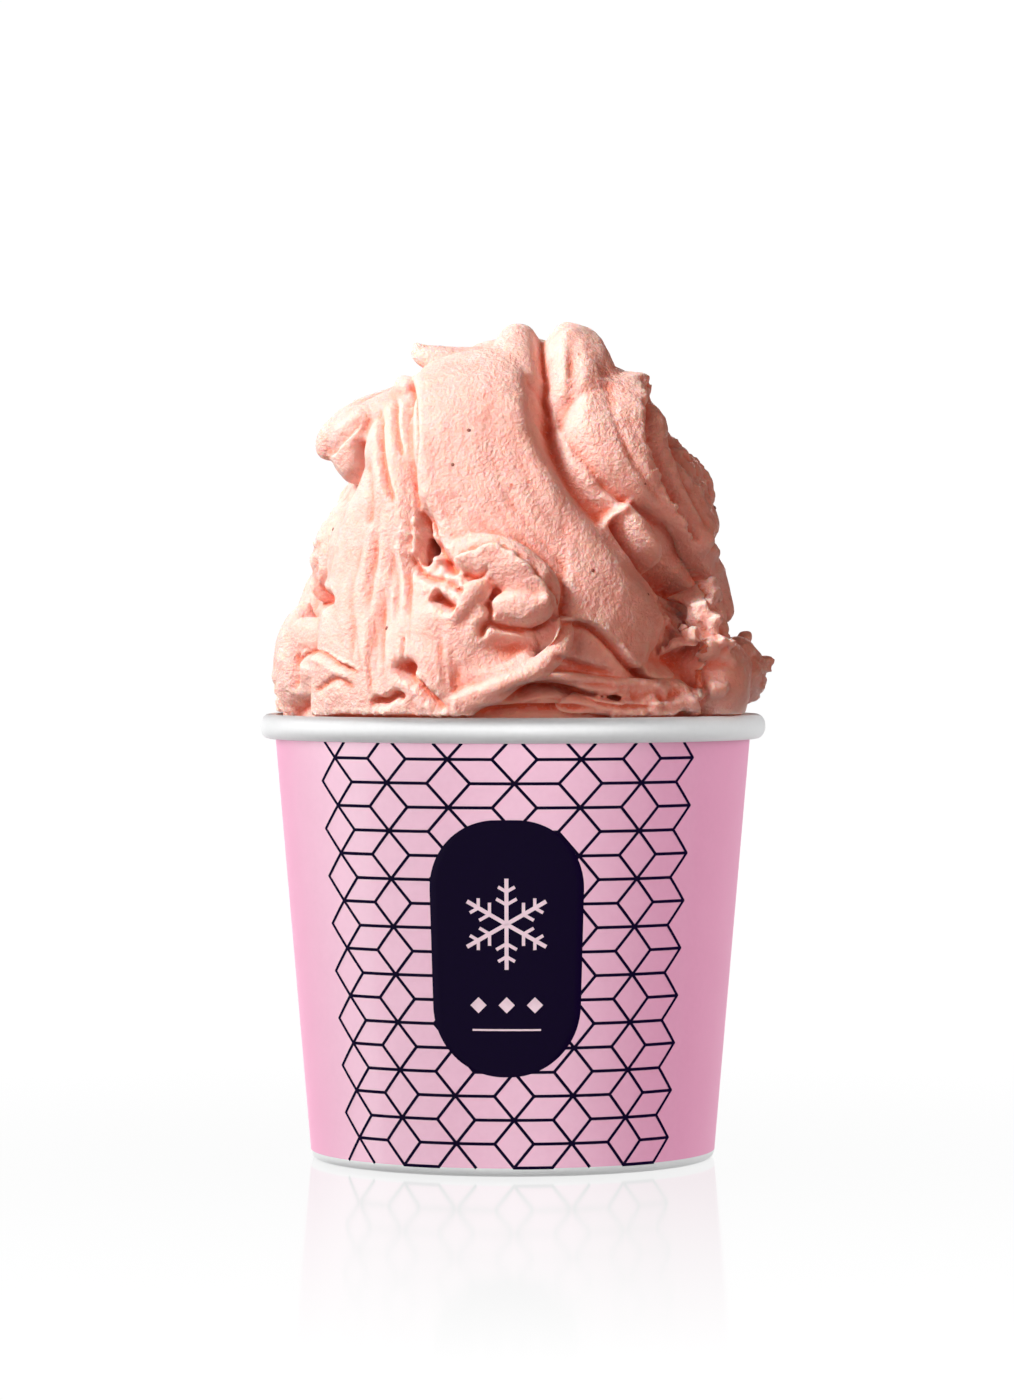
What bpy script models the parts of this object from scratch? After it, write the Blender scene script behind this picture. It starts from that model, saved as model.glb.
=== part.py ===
"""Heaped gelato in a rolled-rim paper cup, modelled at real size.

The object is in metres, +Z up, with its origin on the table under the middle of the cup.
The heap of gelato is laid out in millimetres, with heights counted from the cup's rim,
out of spatula strokes: ovals swept along short paths over a plain core. The strokes are
joined into one skin, and creases, ledges and grooves are then pressed into that skin.
"""
import math

import bmesh
import bpy
import numpy as np

# Driving dimensions of the cup, in metres
CUP_HEIGHT = 0.085
RIM_RADIUS = 0.0485
RIM_DEPTH = 0.0047
WALL_TOP_RADIUS = 0.0455
WALL_FOOT_RADIUS = 0.0388
WALL_FOOT_HEIGHT = 0.002
PAPER = 0.0005
GAP = 0.0003
HEM_WIDTH = 0.0018
HEM_DEPTH = 0.0055
SKIRT_FOOT = 0.0019
FLOOR_HEIGHT = 0.0060
TURN_STEPS = 60

# The gelato inside the cup, in metres below the rim, and the room over the rim for the heap
FILLING_DROP = 0.003
ROOM_DROP = 0.008
ROOM_RADIUS = 0.063
ROOM_TOP = 0.187

# Driving dimensions of the heap, in millimetres
MM = 0.001
HEAP_VOXEL = 0.9
HEAP_TRIANGLES = 8000
HEAP_MIDDLE = 18.0
CORE_DEPTH = 0.95
CORE_LEAN = 1.5
CORE_HEIGHTS = [-9, 0, 12, 26, 38, 48, 56, 62, 67, 71, 73]
CORE_RADII = [43.5, 43.8, 40.5, 35.8, 33.5, 30.0, 25.5, 20.5, 14.5, 8, 0.5]
LEDGE_EDGE = 1.3
SQUARENESS = 0.8
PATH_SAMPLES = 36

# The heap's marks are placed as an eye in front of the cup sees them
EYE_DISTANCE = 977.0
EYE_HEIGHT = 17.2

LOOKS = {
    "cup_wall": ((0.82, 0.42, 0.58, 1.0), 0.45),
    "cup_base": ((0.86, 0.86, 0.85, 1.0), 0.60),
    "gelato": ((0.80, 0.45, 0.36, 1.0), 0.55),
}


def clear_scene():
    for item in list(bpy.data.objects):
        bpy.data.objects.remove(item, do_unlink=True)


def new_collection(name):
    group = bpy.data.collections.new(name)
    bpy.context.scene.collection.children.link(group)
    return group


def new_object(name, mesh, group):
    item = bpy.data.objects.new(name, mesh)
    group.objects.link(item)
    return item


def paint(item):
    colour, roughness = LOOKS[item.name]
    material = bpy.data.materials.new(item.name)
    material.use_nodes = True
    shader = material.node_tree.nodes["Principled BSDF"]
    shader.inputs["Base Color"].default_value = colour
    shader.inputs["Roughness"].default_value = roughness
    shader.inputs["Metallic"].default_value = 0.0
    item.data.materials.append(material)


# Paper cup

def turned(name, profile, group):
    """Turn a line of (radius, height) points, given top to bottom, about the upright axis."""
    bm = bmesh.new()
    line = [bm.verts.new((radius, 0.0, height)) for radius, height in profile]
    for first, second in zip(line, line[1:]):
        bm.edges.new((first, second))
    mesh = bpy.data.meshes.new(name)
    bm.to_mesh(mesh)
    bm.free()
    item = new_object(name, mesh, group)
    screw = item.modifiers.new("turn", "SCREW")
    screw.axis = "Z"
    screw.steps = TURN_STEPS
    screw.render_steps = TURN_STEPS
    screw.use_merge_vertices = True
    screw.merge_threshold = 0.00001
    screw.use_smooth_shade = True
    return item


def arc(centre, radii, start, end, count):
    """Points on an upright ellipse from one angle to another, in degrees."""
    angles = np.radians(np.linspace(start, end, count))
    return [(centre[0] + radii[0] * math.cos(a), centre[1] + radii[1] * math.sin(a)) for a in angles]


def wall_radius(height):
    """Outer radius of the tapered wall at a height."""
    share = (height - WALL_FOOT_HEIGHT) / (CUP_HEIGHT - RIM_DEPTH - WALL_FOOT_HEIGHT)
    return WALL_FOOT_RADIUS + share * (WALL_TOP_RADIUS - WALL_FOOT_RADIUS)


def inside_radius(height):
    """Inner radius of the wall, which runs straight up inside the rim."""
    return wall_radius(min(height, CUP_HEIGHT - RIM_DEPTH)) - PAPER


def wall_middle_line():
    """The middle of the paper, from the end of the rim's curl down the wall to the end of the hem.

    The hem's turn has five equal sides, and the cup stands on the lowest of them.
    """
    half = PAPER / 2
    inner = inside_radius(CUP_HEIGHT) + half
    outer = RIM_RADIUS - half
    width = (outer - inner) / 2
    height = RIM_DEPTH / 2 - half
    rim = arc((inner + width, CUP_HEIGHT - half - height), (width, height), -108, 180, 13)
    turn = HEM_WIDTH / 2
    hem_middle = WALL_FOOT_RADIUS - half - turn
    drop = (WALL_FOOT_HEIGHT - half) / math.cos(math.radians(18))
    hem = arc((hem_middle, WALL_FOOT_HEIGHT), (turn, drop), 0, -180, 6)
    return rim + hem + [(hem_middle - turn, HEM_DEPTH)]


def make_wall(group):
    """Wall, rolled rim and folded hem, one sheet of paper."""
    wall = turned("cup_wall", wall_middle_line(), group)
    shell = wall.modifiers.new("paper", "SOLIDIFY")
    shell.thickness = PAPER
    shell.offset = 0.0
    shell.use_even_offset = True
    paint(wall)


def make_base(group):
    """Base disc with its skirt, which stands in the slot of the hem."""
    skirt_inner = WALL_FOOT_RADIUS - HEM_WIDTH + GAP
    skirt_outer = skirt_inner + PAPER
    top = FLOOR_HEIGHT + PAPER
    edge = inside_radius(top) - GAP
    profile = [
        (0.0, top),
        (edge - PAPER, top),
        (edge, top - PAPER),
        (skirt_outer, SKIRT_FOOT),
        (skirt_inner, SKIRT_FOOT),
        (edge - PAPER, FLOOR_HEIGHT),
        (0.0, FLOOR_HEIGHT),
    ]
    base = turned("cup_base", profile, group)
    paint(base)


# Shapes of the heap

def smooth_path(points, count):
    """A smooth curve through a few given points, as count points."""
    given = np.array(points, float)
    padded = np.vstack([2 * given[0] - given[1], given, 2 * given[-1] - given[-2]])
    place = np.linspace(0, len(given) - 1, count)
    index = np.minimum(place.astype(int), len(given) - 2)
    t = (place - index)[:, None]
    a, b, c, d = (padded[index + k] for k in range(4))
    curve = 2 * b + (c - a) * t
    curve += (2 * a - 5 * b + 4 * c - d) * t ** 2
    curve += (3 * b - a - 3 * c + d) * t ** 3
    return curve / 2


def cell_value(cell, seed):
    """A repeatable number from -1 to 1 for each whole-number cell."""
    mixed = cell[:, 0] * 73856093 ^ cell[:, 1] * 19349663 ^ cell[:, 2] * 83492791 ^ seed * 40503
    mixed = (mixed ^ (mixed >> 13)) * 1274126177 & 0xFFFFFFFF
    return ((mixed ^ (mixed >> 15)) & 0xFFFF) / 32767.5 - 1.0


def noise(points, size, seed):
    """Soft unevenness from -1 to 1, with lumps of about the given size."""
    scaled = points / size
    cell = np.floor(scaled).astype(np.int64)
    part = scaled - cell
    part = part * part * (3 - 2 * part)
    total = np.zeros(len(points))
    for corner in np.ndindex(2, 2, 2):
        near = np.where(corner, part, 1 - part)
        total += near.prod(axis=1) * cell_value(cell + np.array(corner), seed)
    return total


def core_radius(height):
    return float(np.interp(height, CORE_HEIGHTS, CORE_RADII))


def outward(point):
    """Unit direction away from the middle of the heap."""
    way = np.array([point[0], point[1], (point[2] - HEAP_MIDDLE) / 1.5])
    return way / np.linalg.norm(way)


def front(x, height, lift=0.0):
    """A point on the front of the core, pushed outwards by lift."""
    depth = math.sqrt(max(core_radius(height) ** 2 - x ** 2, 9.0))
    point = np.array([x, -depth * CORE_DEPTH, height])
    return point + lift * outward(point)


def around(angle, height, lift=0.0):
    """A point on the core at an angle in degrees, 0 at the front and 90 at the right."""
    turn = math.radians(angle)
    radius = core_radius(height)
    point = np.array([radius * math.sin(turn), -radius * math.cos(turn) * CORE_DEPTH, height])
    return point + lift * outward(point)


def add_core(bm):
    """The plain heap that carries the strokes."""
    made = bmesh.ops.create_uvsphere(bm, u_segments=60, v_segments=40, radius=1.0)
    low, high = CORE_HEIGHTS[0], CORE_HEIGHTS[-1]
    for vert in made["verts"]:
        height = low + (vert.co.z + 1) / 2 * (high - low)
        flat = math.hypot(vert.co.x, vert.co.y)
        scale = core_radius(height) / flat if flat > 0.01 else 0.0
        lean = CORE_LEAN * max(0.0, height - 30) / 40
        vert.co = (vert.co.x * scale + lean, vert.co.y * scale * CORE_DEPTH, height)


def add_stroke(bm, path, widths, thicks, lean=0.0, ragged=0.0, hug=0.0, stations=40, sides=26):
    """A spatula stroke: a flat oval swept along a path, rounded at both ends.

    Widths and thicks are half sizes along the path. Lean tips the stroke about its path, in
    degrees, so that one edge stands proud. Ragged is how far its skin wanders. Hug is 1 where
    the oval bends round the heap and 0 where it stays flat.
    """
    centre = smooth_path(path, stations)
    half_width = smooth_path([[w] for w in widths], stations)[:, 0]
    half_thick = smooth_path([[t] for t in thicks], stations)[:, 0]
    along = np.gradient(centre, axis=0)
    along /= np.linalg.norm(along, axis=1)[:, None]
    travelled = np.append(0, np.cumsum(np.linalg.norm(np.diff(centre, axis=0), axis=1)))
    angles = np.linspace(0, 2 * math.pi, sides, endpoint=False)
    wide = np.sign(np.cos(angles)) * np.abs(np.cos(angles)) ** SQUARENESS
    deep = np.sign(np.sin(angles)) * np.abs(np.sin(angles)) ** SQUARENESS
    tilt = math.radians(lean)
    rings = []
    for k in range(stations):
        up = outward(centre[k])
        across = np.cross(along[k], up)
        across /= np.linalg.norm(across)
        up = np.cross(across, along[k])
        level, upright = across, up
        across = level * math.cos(tilt) + upright * math.sin(tilt)
        up = upright * math.cos(tilt) - level * math.sin(tilt)
        to_end = min(travelled[k], travelled[-1] - travelled[k]) / (1.2 * half_thick[k])
        close = math.sqrt(max(1 - (1 - min(to_end, 1)) ** 2, 0.02))
        sideways = wide * half_width[k] * (0.35 + 0.65 * close)
        bend = hug * sideways ** 2 / (2 * max(np.hypot(*centre[k][:2]), half_width[k]))
        outwards = deep * half_thick[k] * close - bend
        rings.append(centre[k] + np.outer(sideways, across) + np.outer(outwards, up))
    skin = np.array(rings).reshape(-1, 3)
    if ragged:
        skin = skin + ragged * np.stack([noise(skin, 3.0, seed) for seed in range(3)], axis=1)
    verts = [bm.verts.new(point) for point in skin]
    for k in range(stations - 1):
        for side in range(sides):
            here = k * sides + side
            beside = k * sides + (side + 1) % sides
            bm.faces.new((verts[here], verts[beside], verts[beside + sides], verts[here + sides]))
    bm.faces.new(verts[:sides][::-1])
    bm.faces.new(verts[-sides:])


def add_lump(bm, centre, radii, seed, rough=0.2, detail=2):
    """A rounded lump with an uneven skin."""
    made = bmesh.ops.create_icosphere(bm, subdivisions=detail, radius=1.0)
    unit = np.array([vert.co[:] for vert in made["verts"]])
    bumpy = 1 + rough * noise(unit + seed * 3.1, 0.7, seed)
    for vert, point, bump in zip(made["verts"], unit, bumpy):
        vert.co = np.array(centre) + point * bump * np.array(radii)


def add_crumbs(bm, path, count, sizes, spread, seed):
    """Small broken lumps scattered along a path."""
    rng = np.random.default_rng(seed)
    line = smooth_path(path, 60)
    for n in range(count):
        centre = line[int(rng.uniform(0, 60))] + rng.normal(0, spread, 3)
        radii = rng.uniform(*sizes) * rng.uniform(0.7, 1.3, 3)
        add_lump(bm, centre, radii, seed * 50 + n, 0.35, 1)


def lay_main_sweep(bm):
    """The broad sheet from the top left to the lower right, with the knob at its top."""
    add_stroke(bm,
               [(-7.5, -8, 67), front(-7.5, 58, 1), front(-5, 45, 1), front(2, 32, 1.5),
                front(13, 20, 1.5), front(24, 11, 0)], [10.2, 11, 13, 16, 15, 9], [4.5, 5, 5, 5, 5, 4])
    add_stroke(bm,
               [front(2, 62, -1), front(2.6, 50, 0.3), front(7.6, 38, 1.2), front(17, 26, 1.5),
                front(23.5, 17, 0)], [7, 9, 11, 12, 9], [4, 4.5, 5, 5, 4])
    add_stroke(bm, [(-4, -6, 66.5), (-11, -6.5, 66.8), (-16.6, -7, 68.2), (-19.0, -7, 70.6)],
               [6, 5, 3, 0.6], [3.2, 3.2, 2.2, 0.5])
    add_stroke(bm, [(2.2, -2, 72.4), (1.5, -12, 67.0), (0.5, -20, 58)], [4.3, 6, 8], [4.4, 5, 5])
    add_stroke(bm, [front(6, 16, 0), front(13, 12.5, 1), front(21, 7.5, 1)], [5, 4.5, 3.5], [4, 4, 3.5])


def lay_second_sheet(bm):
    """The sheet beside it, from the top to the right, ending in strands."""
    add_stroke(bm, [(9.6, -2, 71.8), (11.8, -12, 66.4), (14.6, -20, 57)], [4.5, 7.0, 8.4], [4.9, 5, 5])
    add_stroke(bm, [(15.5, 2, 64.2), (20.5, -4, 61.8), (22.5, -8, 57)], [5, 4.2, 4], [4.0, 3.4, 4])
    add_stroke(bm,
               [front(14.6, 64, 0), front(17.6, 55, 1.4), front(21, 47.5, 2), front(26.2, 40.6, 2.2),
                front(31, 32.4, 2.4), front(35.6, 25, 2.4), front(39.4, 17.6, 1.8)],
               [9, 10.6, 10, 7, 4.2, 2.8, 1.5], [4, 4.5, 4.5, 4, 3.4, 2.6, 1.6], lean=-17)
    add_stroke(bm,
               [front(25, 50, 1.5), front(28, 42, 2), front(32, 33, 1.8), front(36, 25, 1.6),
                front(38.5, 19, 1)], [3.5, 4.4, 4.2, 3.2, 1.6], [3.2, 3.4, 3, 2.4, 1.4], lean=-6)


def lay_right_side(bm):
    """The ragged mass behind the second sheet, and the broken chunk over the rim."""
    add_stroke(bm, [(23.5, -6, 54.5), (29.0, -8.5, 46.5), (32.5, -10.5, 38), (32, -10.5, 28)],
               [5.5, 8, 8.5, 6.5], [4.6, 5.2, 5, 4], ragged=0.6)
    add_stroke(bm, [(30.0, 4, 49), (34.2, 3, 43), (36.4, 2, 36.5), (35.4, 2, 31)], [3.5, 5.5, 5.5, 3.4],
               [3.0, 3.2, 3, 2.6], ragged=0.7)
    add_stroke(bm, [front(33, 33, 1), (37.4, -10, 22.5), (40.0, -10, 17.8)], [3.4, 2.2, 1.4],
               [2.6, 2.0, 1.2], ragged=0.5)
    add_stroke(bm,
               [front(32.4, 24.6, 3), front(31.2, 20, 4.8), front(32.4, 14.5, 5.2),
                front(34.6, 9.0, 4.6)], [1.0, 2.2, 2.8, 2.6], [1.2, 2.4, 2.8, 2.4], ragged=1.2)
    add_lump(bm, (36.5, -17, 6.0), (9.4, 11.5, 9.6), 3, 0.12, 4)
    add_lump(bm, (42.0, -8, 8.6), (5.6, 8, 6.2), 4, 0.2, 3)
    add_lump(bm, (44.0, -6, 14.6), (1.6, 2, 1.6), 7, 0.3)
    add_lump(bm, (48.2, -5, 9.6), (2.0, 2.4, 1.6), 5, 0.3)
    add_lump(bm, (43.4, -5, 3.8), (3.2, 5, 2.2), 6, 0.3)
    crag = [(31.8, 22.2, 1.7), (30.4, 19.0, 2.2), (32.6, 16.2, 2.6), (31.2, 13.2, 2.2), (34.0, 11.0, 2.5),
            (34.6, 8.0, 2.4), (32.8, 6.2, 2.0), (28.6, 15.8, 1.5)]
    for n, (x, height, size) in enumerate(crag):
        add_lump(bm, front(x, height, 6.5), (size, size, size), 40 + n, 0.35, 3)
    add_crumbs(bm, [front(32.3, 23.3, 5.5), front(31.0, 19, 7.5), front(31.8, 15, 8), front(34, 10, 7)],
               30, (0.8, 1.6), 0.9, 5)
    add_lump(bm, front(29.2, 16.0, 3.2), (1.5, 1.4, 1.4), 24, 0.25, 2)
    add_crumbs(bm, [front(26.5, 12.6, 2.5), front(29, 14, 2.5), front(32, 13, 3)], 10, (0.6, 1.2), 0.6,
               6)
    add_crumbs(bm, [front(33, 6.5, 2), front(28, 3.5, 2.5), front(18, 2, 2.5)], 40, (0.9, 2.1), 0.9, 8)


def lay_left_side(bm):
    """The horn, the drape under it, the lobe over the rim, and what comes round from the back."""
    add_stroke(bm, [(-15, -14, 58), (-24.5, -11, 57.0), (-30.5, -9, 54.6)], [6.5, 5.0, 3.6],
               [4, 3.2, 2.6])
    add_stroke(bm,
               [around(196, 67, -1), around(222, 63, 0.5), around(244, 58.5, 1), (-30.6, -6, 55.2),
                (-34.6, -8.5, 51.0), (-34.6, -10, 48.8)], [3, 5.5, 5.5, 4.6, 3.2, 1.4],
               [3, 3.6, 3.6, 3.4, 2.8, 1.6], ragged=0.35, hug=1)
    add_stroke(bm, [(-25.5, -12, 57.5), (-29.6, -11, 54), (-30.6, -11, 50.5), (-28.6, -12, 44)],
               [3.4, 5.4, 4.6, 3.0], [3, 4.2, 4.0, 3.4], ragged=0.4)
    add_lump(bm, (-20.4, -11, 62.0), (2.4, 4, 2.4), 25, 0.2, 3)
    add_stroke(bm,
               [front(-20.0, 60, -1), front(-21.5, 52, 0.5), front(-22.0, 43, 1.0), front(-23.0, 33, 2),
                front(-24.0, 20, 2.5), front(-25, 8, 2), front(-26, -6, 0)],
               [2.5, 5.6, 7.0, 10, 12, 14, 14], [4, 5, 5, 5, 5, 5, 4])
    add_stroke(bm,
               [front(-25, 41, 0.5), front(-28.5, 34, 0.8), front(-29.5, 27, 0.8), front(-30, 18, 0.8),
                front(-32, 6, 0.5)], [3, 5.4, 6, 6, 7], [3.6, 4.2, 4.2, 4, 4])
    add_stroke(bm,
               [around(212, 57, -0.5), around(228, 51, 0.8), around(246, 43, -0.6), (-31.6, -4, 35.0),
                (-33.4, -9, 30.5), (-32.0, -13, 24)], [5, 7.5, 7.0, 5.6, 5.2, 4],
               [3.4, 4, 4, 4.2, 4.6, 4], ragged=0.4, hug=1)
    add_stroke(bm, [(-35.4, -9, 28.5), (-37.2, -8.5, 25.5), (-36.0, -9, 21.5)], [1.2, 1.0, 1.4],
               [1.1, 1.0, 1.4], ragged=0.3)
    add_stroke(bm, [(-38.9, -12, 21.6), (-40.0, -13, 17.0), (-40.6, -14, 11), (-40.0, -15, 1)],
               [0.7, 3.6, 5.6, 6], [0.7, 3.4, 4.6, 4.6])
    add_stroke(bm,
               [around(216, 40, -0.5), around(230, 32, 0.8), around(246, 22, 1.2), (-39.4, -3, 13.0),
                (-41.0, -12, 10.5), (-37.5, -19, 8)], [6, 8.5, 9, 7.5, 5.8, 4.5],
               [3.4, 4, 4.2, 4.2, 4.2, 3.6], lean=5, hug=1)
    add_stroke(bm, [around(224, 20, 0), around(238, 12, 0.8), around(252, 4, 0.2), around(262, -3, -2)],
               [6, 7.5, 7.5, 6], [3.4, 4, 4, 3.6], lean=5, hug=1)
    add_stroke(bm, [(-41.0, -13, 13.5), (-38.0, -18, 14.2), (-33, -23.5, 12), (-27, -29, 7.5)],
               [3.4, 4.4, 5, 5], [3.2, 3.4, 3.4, 3])
    add_stroke(bm,
               [front(-41.5, -1, -0.5), front(-39.8, 4.5, 0.5), front(-35, 7.2, 2), front(-30, 4, 2.6)],
               [3.0, 3.6, 3.6, 3.0], [3, 3, 3, 2.6])


def lay_leaf(bm):
    """The leaf of gelato folded forward low on the front, with a curl rolled over at its top."""
    add_stroke(bm, [front(-20, 22, 1.5), front(-13, 16, 4), front(-5, 13, 5), front(3.5, 16, 5)],
               [9, 11.5, 10, 6], [4, 4.5, 4, 3], lean=4)
    add_stroke(bm,
               [front(-17, 18, 3.2), front(-14.4, 9, 4.6), front(-12.2, 2.5, 4.2),
                front(-11.4, -1.5, 3)], [8, 6.6, 3.6, 1.2], [4, 3.6, 2.6, 1.4])
    add_stroke(bm,
               [front(-13, 25.5, 2.5), front(-7, 28.6, 5), front(-1.5, 27.2, 6.6),
                front(3.0, 23.5, 7.2), front(5.4, 18.6, 6.2)], [3.6, 4.2, 4.6, 4.6, 3.2],
               [3.6, 4.4, 5, 5, 3.6], ragged=0.25)
    add_lump(bm, front(-4.6, 30.2, 6.2), (2.6, 2.4, 2.4), 21, 0.2, 3)
    add_lump(bm, front(1.4, 19.9, 8.6), (5.6, 3.6, 3.7), 22, 0.08, 4)
    add_lump(bm, front(4.3, 20.9, 11.6), (1.2, 1.1, 1.2), 23, 0.1, 3)
    add_stroke(bm, [front(-3.5, 23.5, 8), front(-7.0, 20.8, 9.0), front(-9.2, 17.0, 8.6)],
               [2.0, 2.6, 2.3], [2.2, 2.8, 2.4], ragged=0.3)
    add_stroke(bm, [front(-10.5, 2.4, 5), front(-3, 6.2, 7), front(3.2, 9.6, 8), front(7.0, 13.5, 8.4),
                    front(8.0, 18.6, 7)], [2.8, 2.4, 2.2, 2.0, 1.8], [2, 2, 1.8, 1.8, 1.6], ragged=0.25)
    add_stroke(bm, [front(-6.5, 8.6, 6.4), front(-1.5, 10.0, 7.4), front(2.6, 12.2, 8.0)],
               [1.3, 1.1, 0.8], [1.4, 1.3, 0.9], ragged=0.2)


def lay_ropes(bm):
    """Thin strands pressed out along the rim at the front."""
    add_stroke(bm,
               [front(-8, 2, 2), front(-2, 5.4, 3), front(4, 7.3, 3.2), front(13, 6.9, 3.4),
                front(22, 6, 3.4), front(30, 6, 2)], [1.0, 1.4, 1.5, 1.5, 1.7, 1.6],
               [1.6, 1.6, 1.6, 1.6, 1.6, 1.6], ragged=0.2)
    add_stroke(bm, [front(8, 2.8, 2), front(18, 2.3, 2.5), front(28, 1.5, 2)], [1.6, 1.5, 1.6],
               [1.6, 1.6, 1.6], ragged=0.4)


def lay_back(bm):
    """Strokes that go round the back from one side of the front to the other."""
    add_stroke(bm, [around(150, 64, -1), around(165, 50, 0.5), around(185, 35, 1), around(205, 18, 1.5),
                    around(215, 3, 1)], [8, 12, 15, 16, 14], [4.5, 4.5, 4.5, 4.5, 4], lean=7, hug=1)
    add_stroke(bm, [around(215, 64, -1), around(226, 50, 0.5), around(234, 34, 1), around(237, 18, 1),
                    around(236, 3, 1)], [6, 9, 11, 12, 12], [4, 4.5, 4.5, 4.5, 4], lean=-6, hug=1)
    add_stroke(bm, [around(118, 61, -1), around(122, 48, 1), around(134, 34, 1.5), around(150, 20, 2),
                    around(168, 5, 1)], [6, 9, 11, 12, 10], [4, 4.5, 5, 5, 4], lean=8, hug=1)
    add_stroke(bm,
               [around(104, 50, -1), around(107, 38, -0.5), around(115, 22, 0.5), around(130, 5, 1)],
               [5, 7, 8, 9], [3.5, 4, 4, 4], lean=6, hug=1)
    add_lump(bm, around(196, 5, 0.5), (9, 4, 5), 12, 0.2, 3)
    add_lump(bm, around(140, 4, 0.5), (6, 6, 4.4), 13, 0.2, 3)
    add_lump(bm, around(232, 6, 0.5), (6, 6, 5), 14, 0.2, 3)
    add_lump(bm, around(106, 5, 0.5), (4, 7, 5), 15, 0.2, 3)


# Marks pressed into the skin of the heap

class Sculpt:
    """Collects how far each point of the skin moves outwards, from marks seen from one side."""

    def __init__(self, points):
        self.points = points
        self.moved = np.zeros(len(points))
        self.look_from(0)

    def look_from(self, angle):
        """Place the marks that follow as seen from an angle in degrees, 0 at the front."""
        turn = math.radians(angle)
        across = self.points[:, 0] * math.cos(turn) + self.points[:, 1] * math.sin(turn)
        near = self.points[:, 0] * math.sin(turn) - self.points[:, 1] * math.cos(turn)
        scale = EYE_DISTANCE / (EYE_DISTANCE - near)
        height = EYE_HEIGHT + (self.points[:, 2] - EYE_HEIGHT) * scale
        self.seen = np.stack([across * scale, height], axis=1)
        self.facing = np.clip(near / 8.0, 0, 1)

    def place(self, path, margin):
        """The points near a path, their distance from it (positive on its left) and how far along."""
        line = smooth_path(path, PATH_SAMPLES)
        low, high = line.min(axis=0) - margin, line.max(axis=0) + margin
        near = np.nonzero(((self.seen > low) & (self.seen < high)).all(axis=1))[0]
        best = np.full(len(near), 1e9)
        signed = np.zeros(len(near))
        share = np.zeros(len(near))
        for k in range(PATH_SAMPLES - 1):
            run = line[k + 1] - line[k]
            away = self.seen[near] - line[k]
            t = np.clip(away @ run / (run @ run), 0, 1)
            miss = away - t[:, None] * run
            distance = np.hypot(miss[:, 0], miss[:, 1])
            closer = distance < best
            side = np.where(run[0] * away[:, 1] > run[1] * away[:, 0], 1.0, -1.0)
            best[closer] = distance[closer]
            signed[closer] = (side * distance)[closer]
            share[closer] = ((k + t) / (PATH_SAMPLES - 1))[closer]
        return near, signed, share

    def groove(self, path, width, depth, taper=0.15):
        """A rounded groove, which fades out at both ends."""
        near, signed, share = self.place(path, 3 * width)
        fade = np.clip(np.minimum(share, 1 - share) / taper, 0, 1)
        self.moved[near] -= depth * np.exp(-(signed / width) ** 2) * fade * self.facing[near]

    def ledge(self, path, height, reach, taper=0.15, ragged=0.0):
        """Lift the left side of a path to a sharp edge that falls away over reach."""
        near, signed, share = self.place(path, 4 * reach)
        signed = signed + ragged * noise(self.points[near], 2.4, 31)
        fade = np.clip(np.minimum(share, 1 - share) / taper, 0, 1)
        rise = np.clip(signed / LEDGE_EDGE + 0.5, 0, 1)
        rise = rise * rise * (3 - 2 * rise)
        fall = np.exp(-np.clip(signed, 0, None) / reach)
        self.moved[near] += height * rise * fall * fade * self.facing[near]

    def pit(self, centre, radii, depth):
        across = (self.seen[:, 0] - centre[0]) / radii[0]
        up = (self.seen[:, 1] - centre[1]) / radii[1]
        self.moved -= depth * np.exp(-across ** 2 - up ** 2) * self.facing

    def result(self):
        way = self.points * [1, 1, 1 / 1.5] - [0, 0, HEAP_MIDDLE / 1.5]
        way /= np.linalg.norm(way, axis=1)[:, None]
        return self.points + way * self.moved[:, None]


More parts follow.
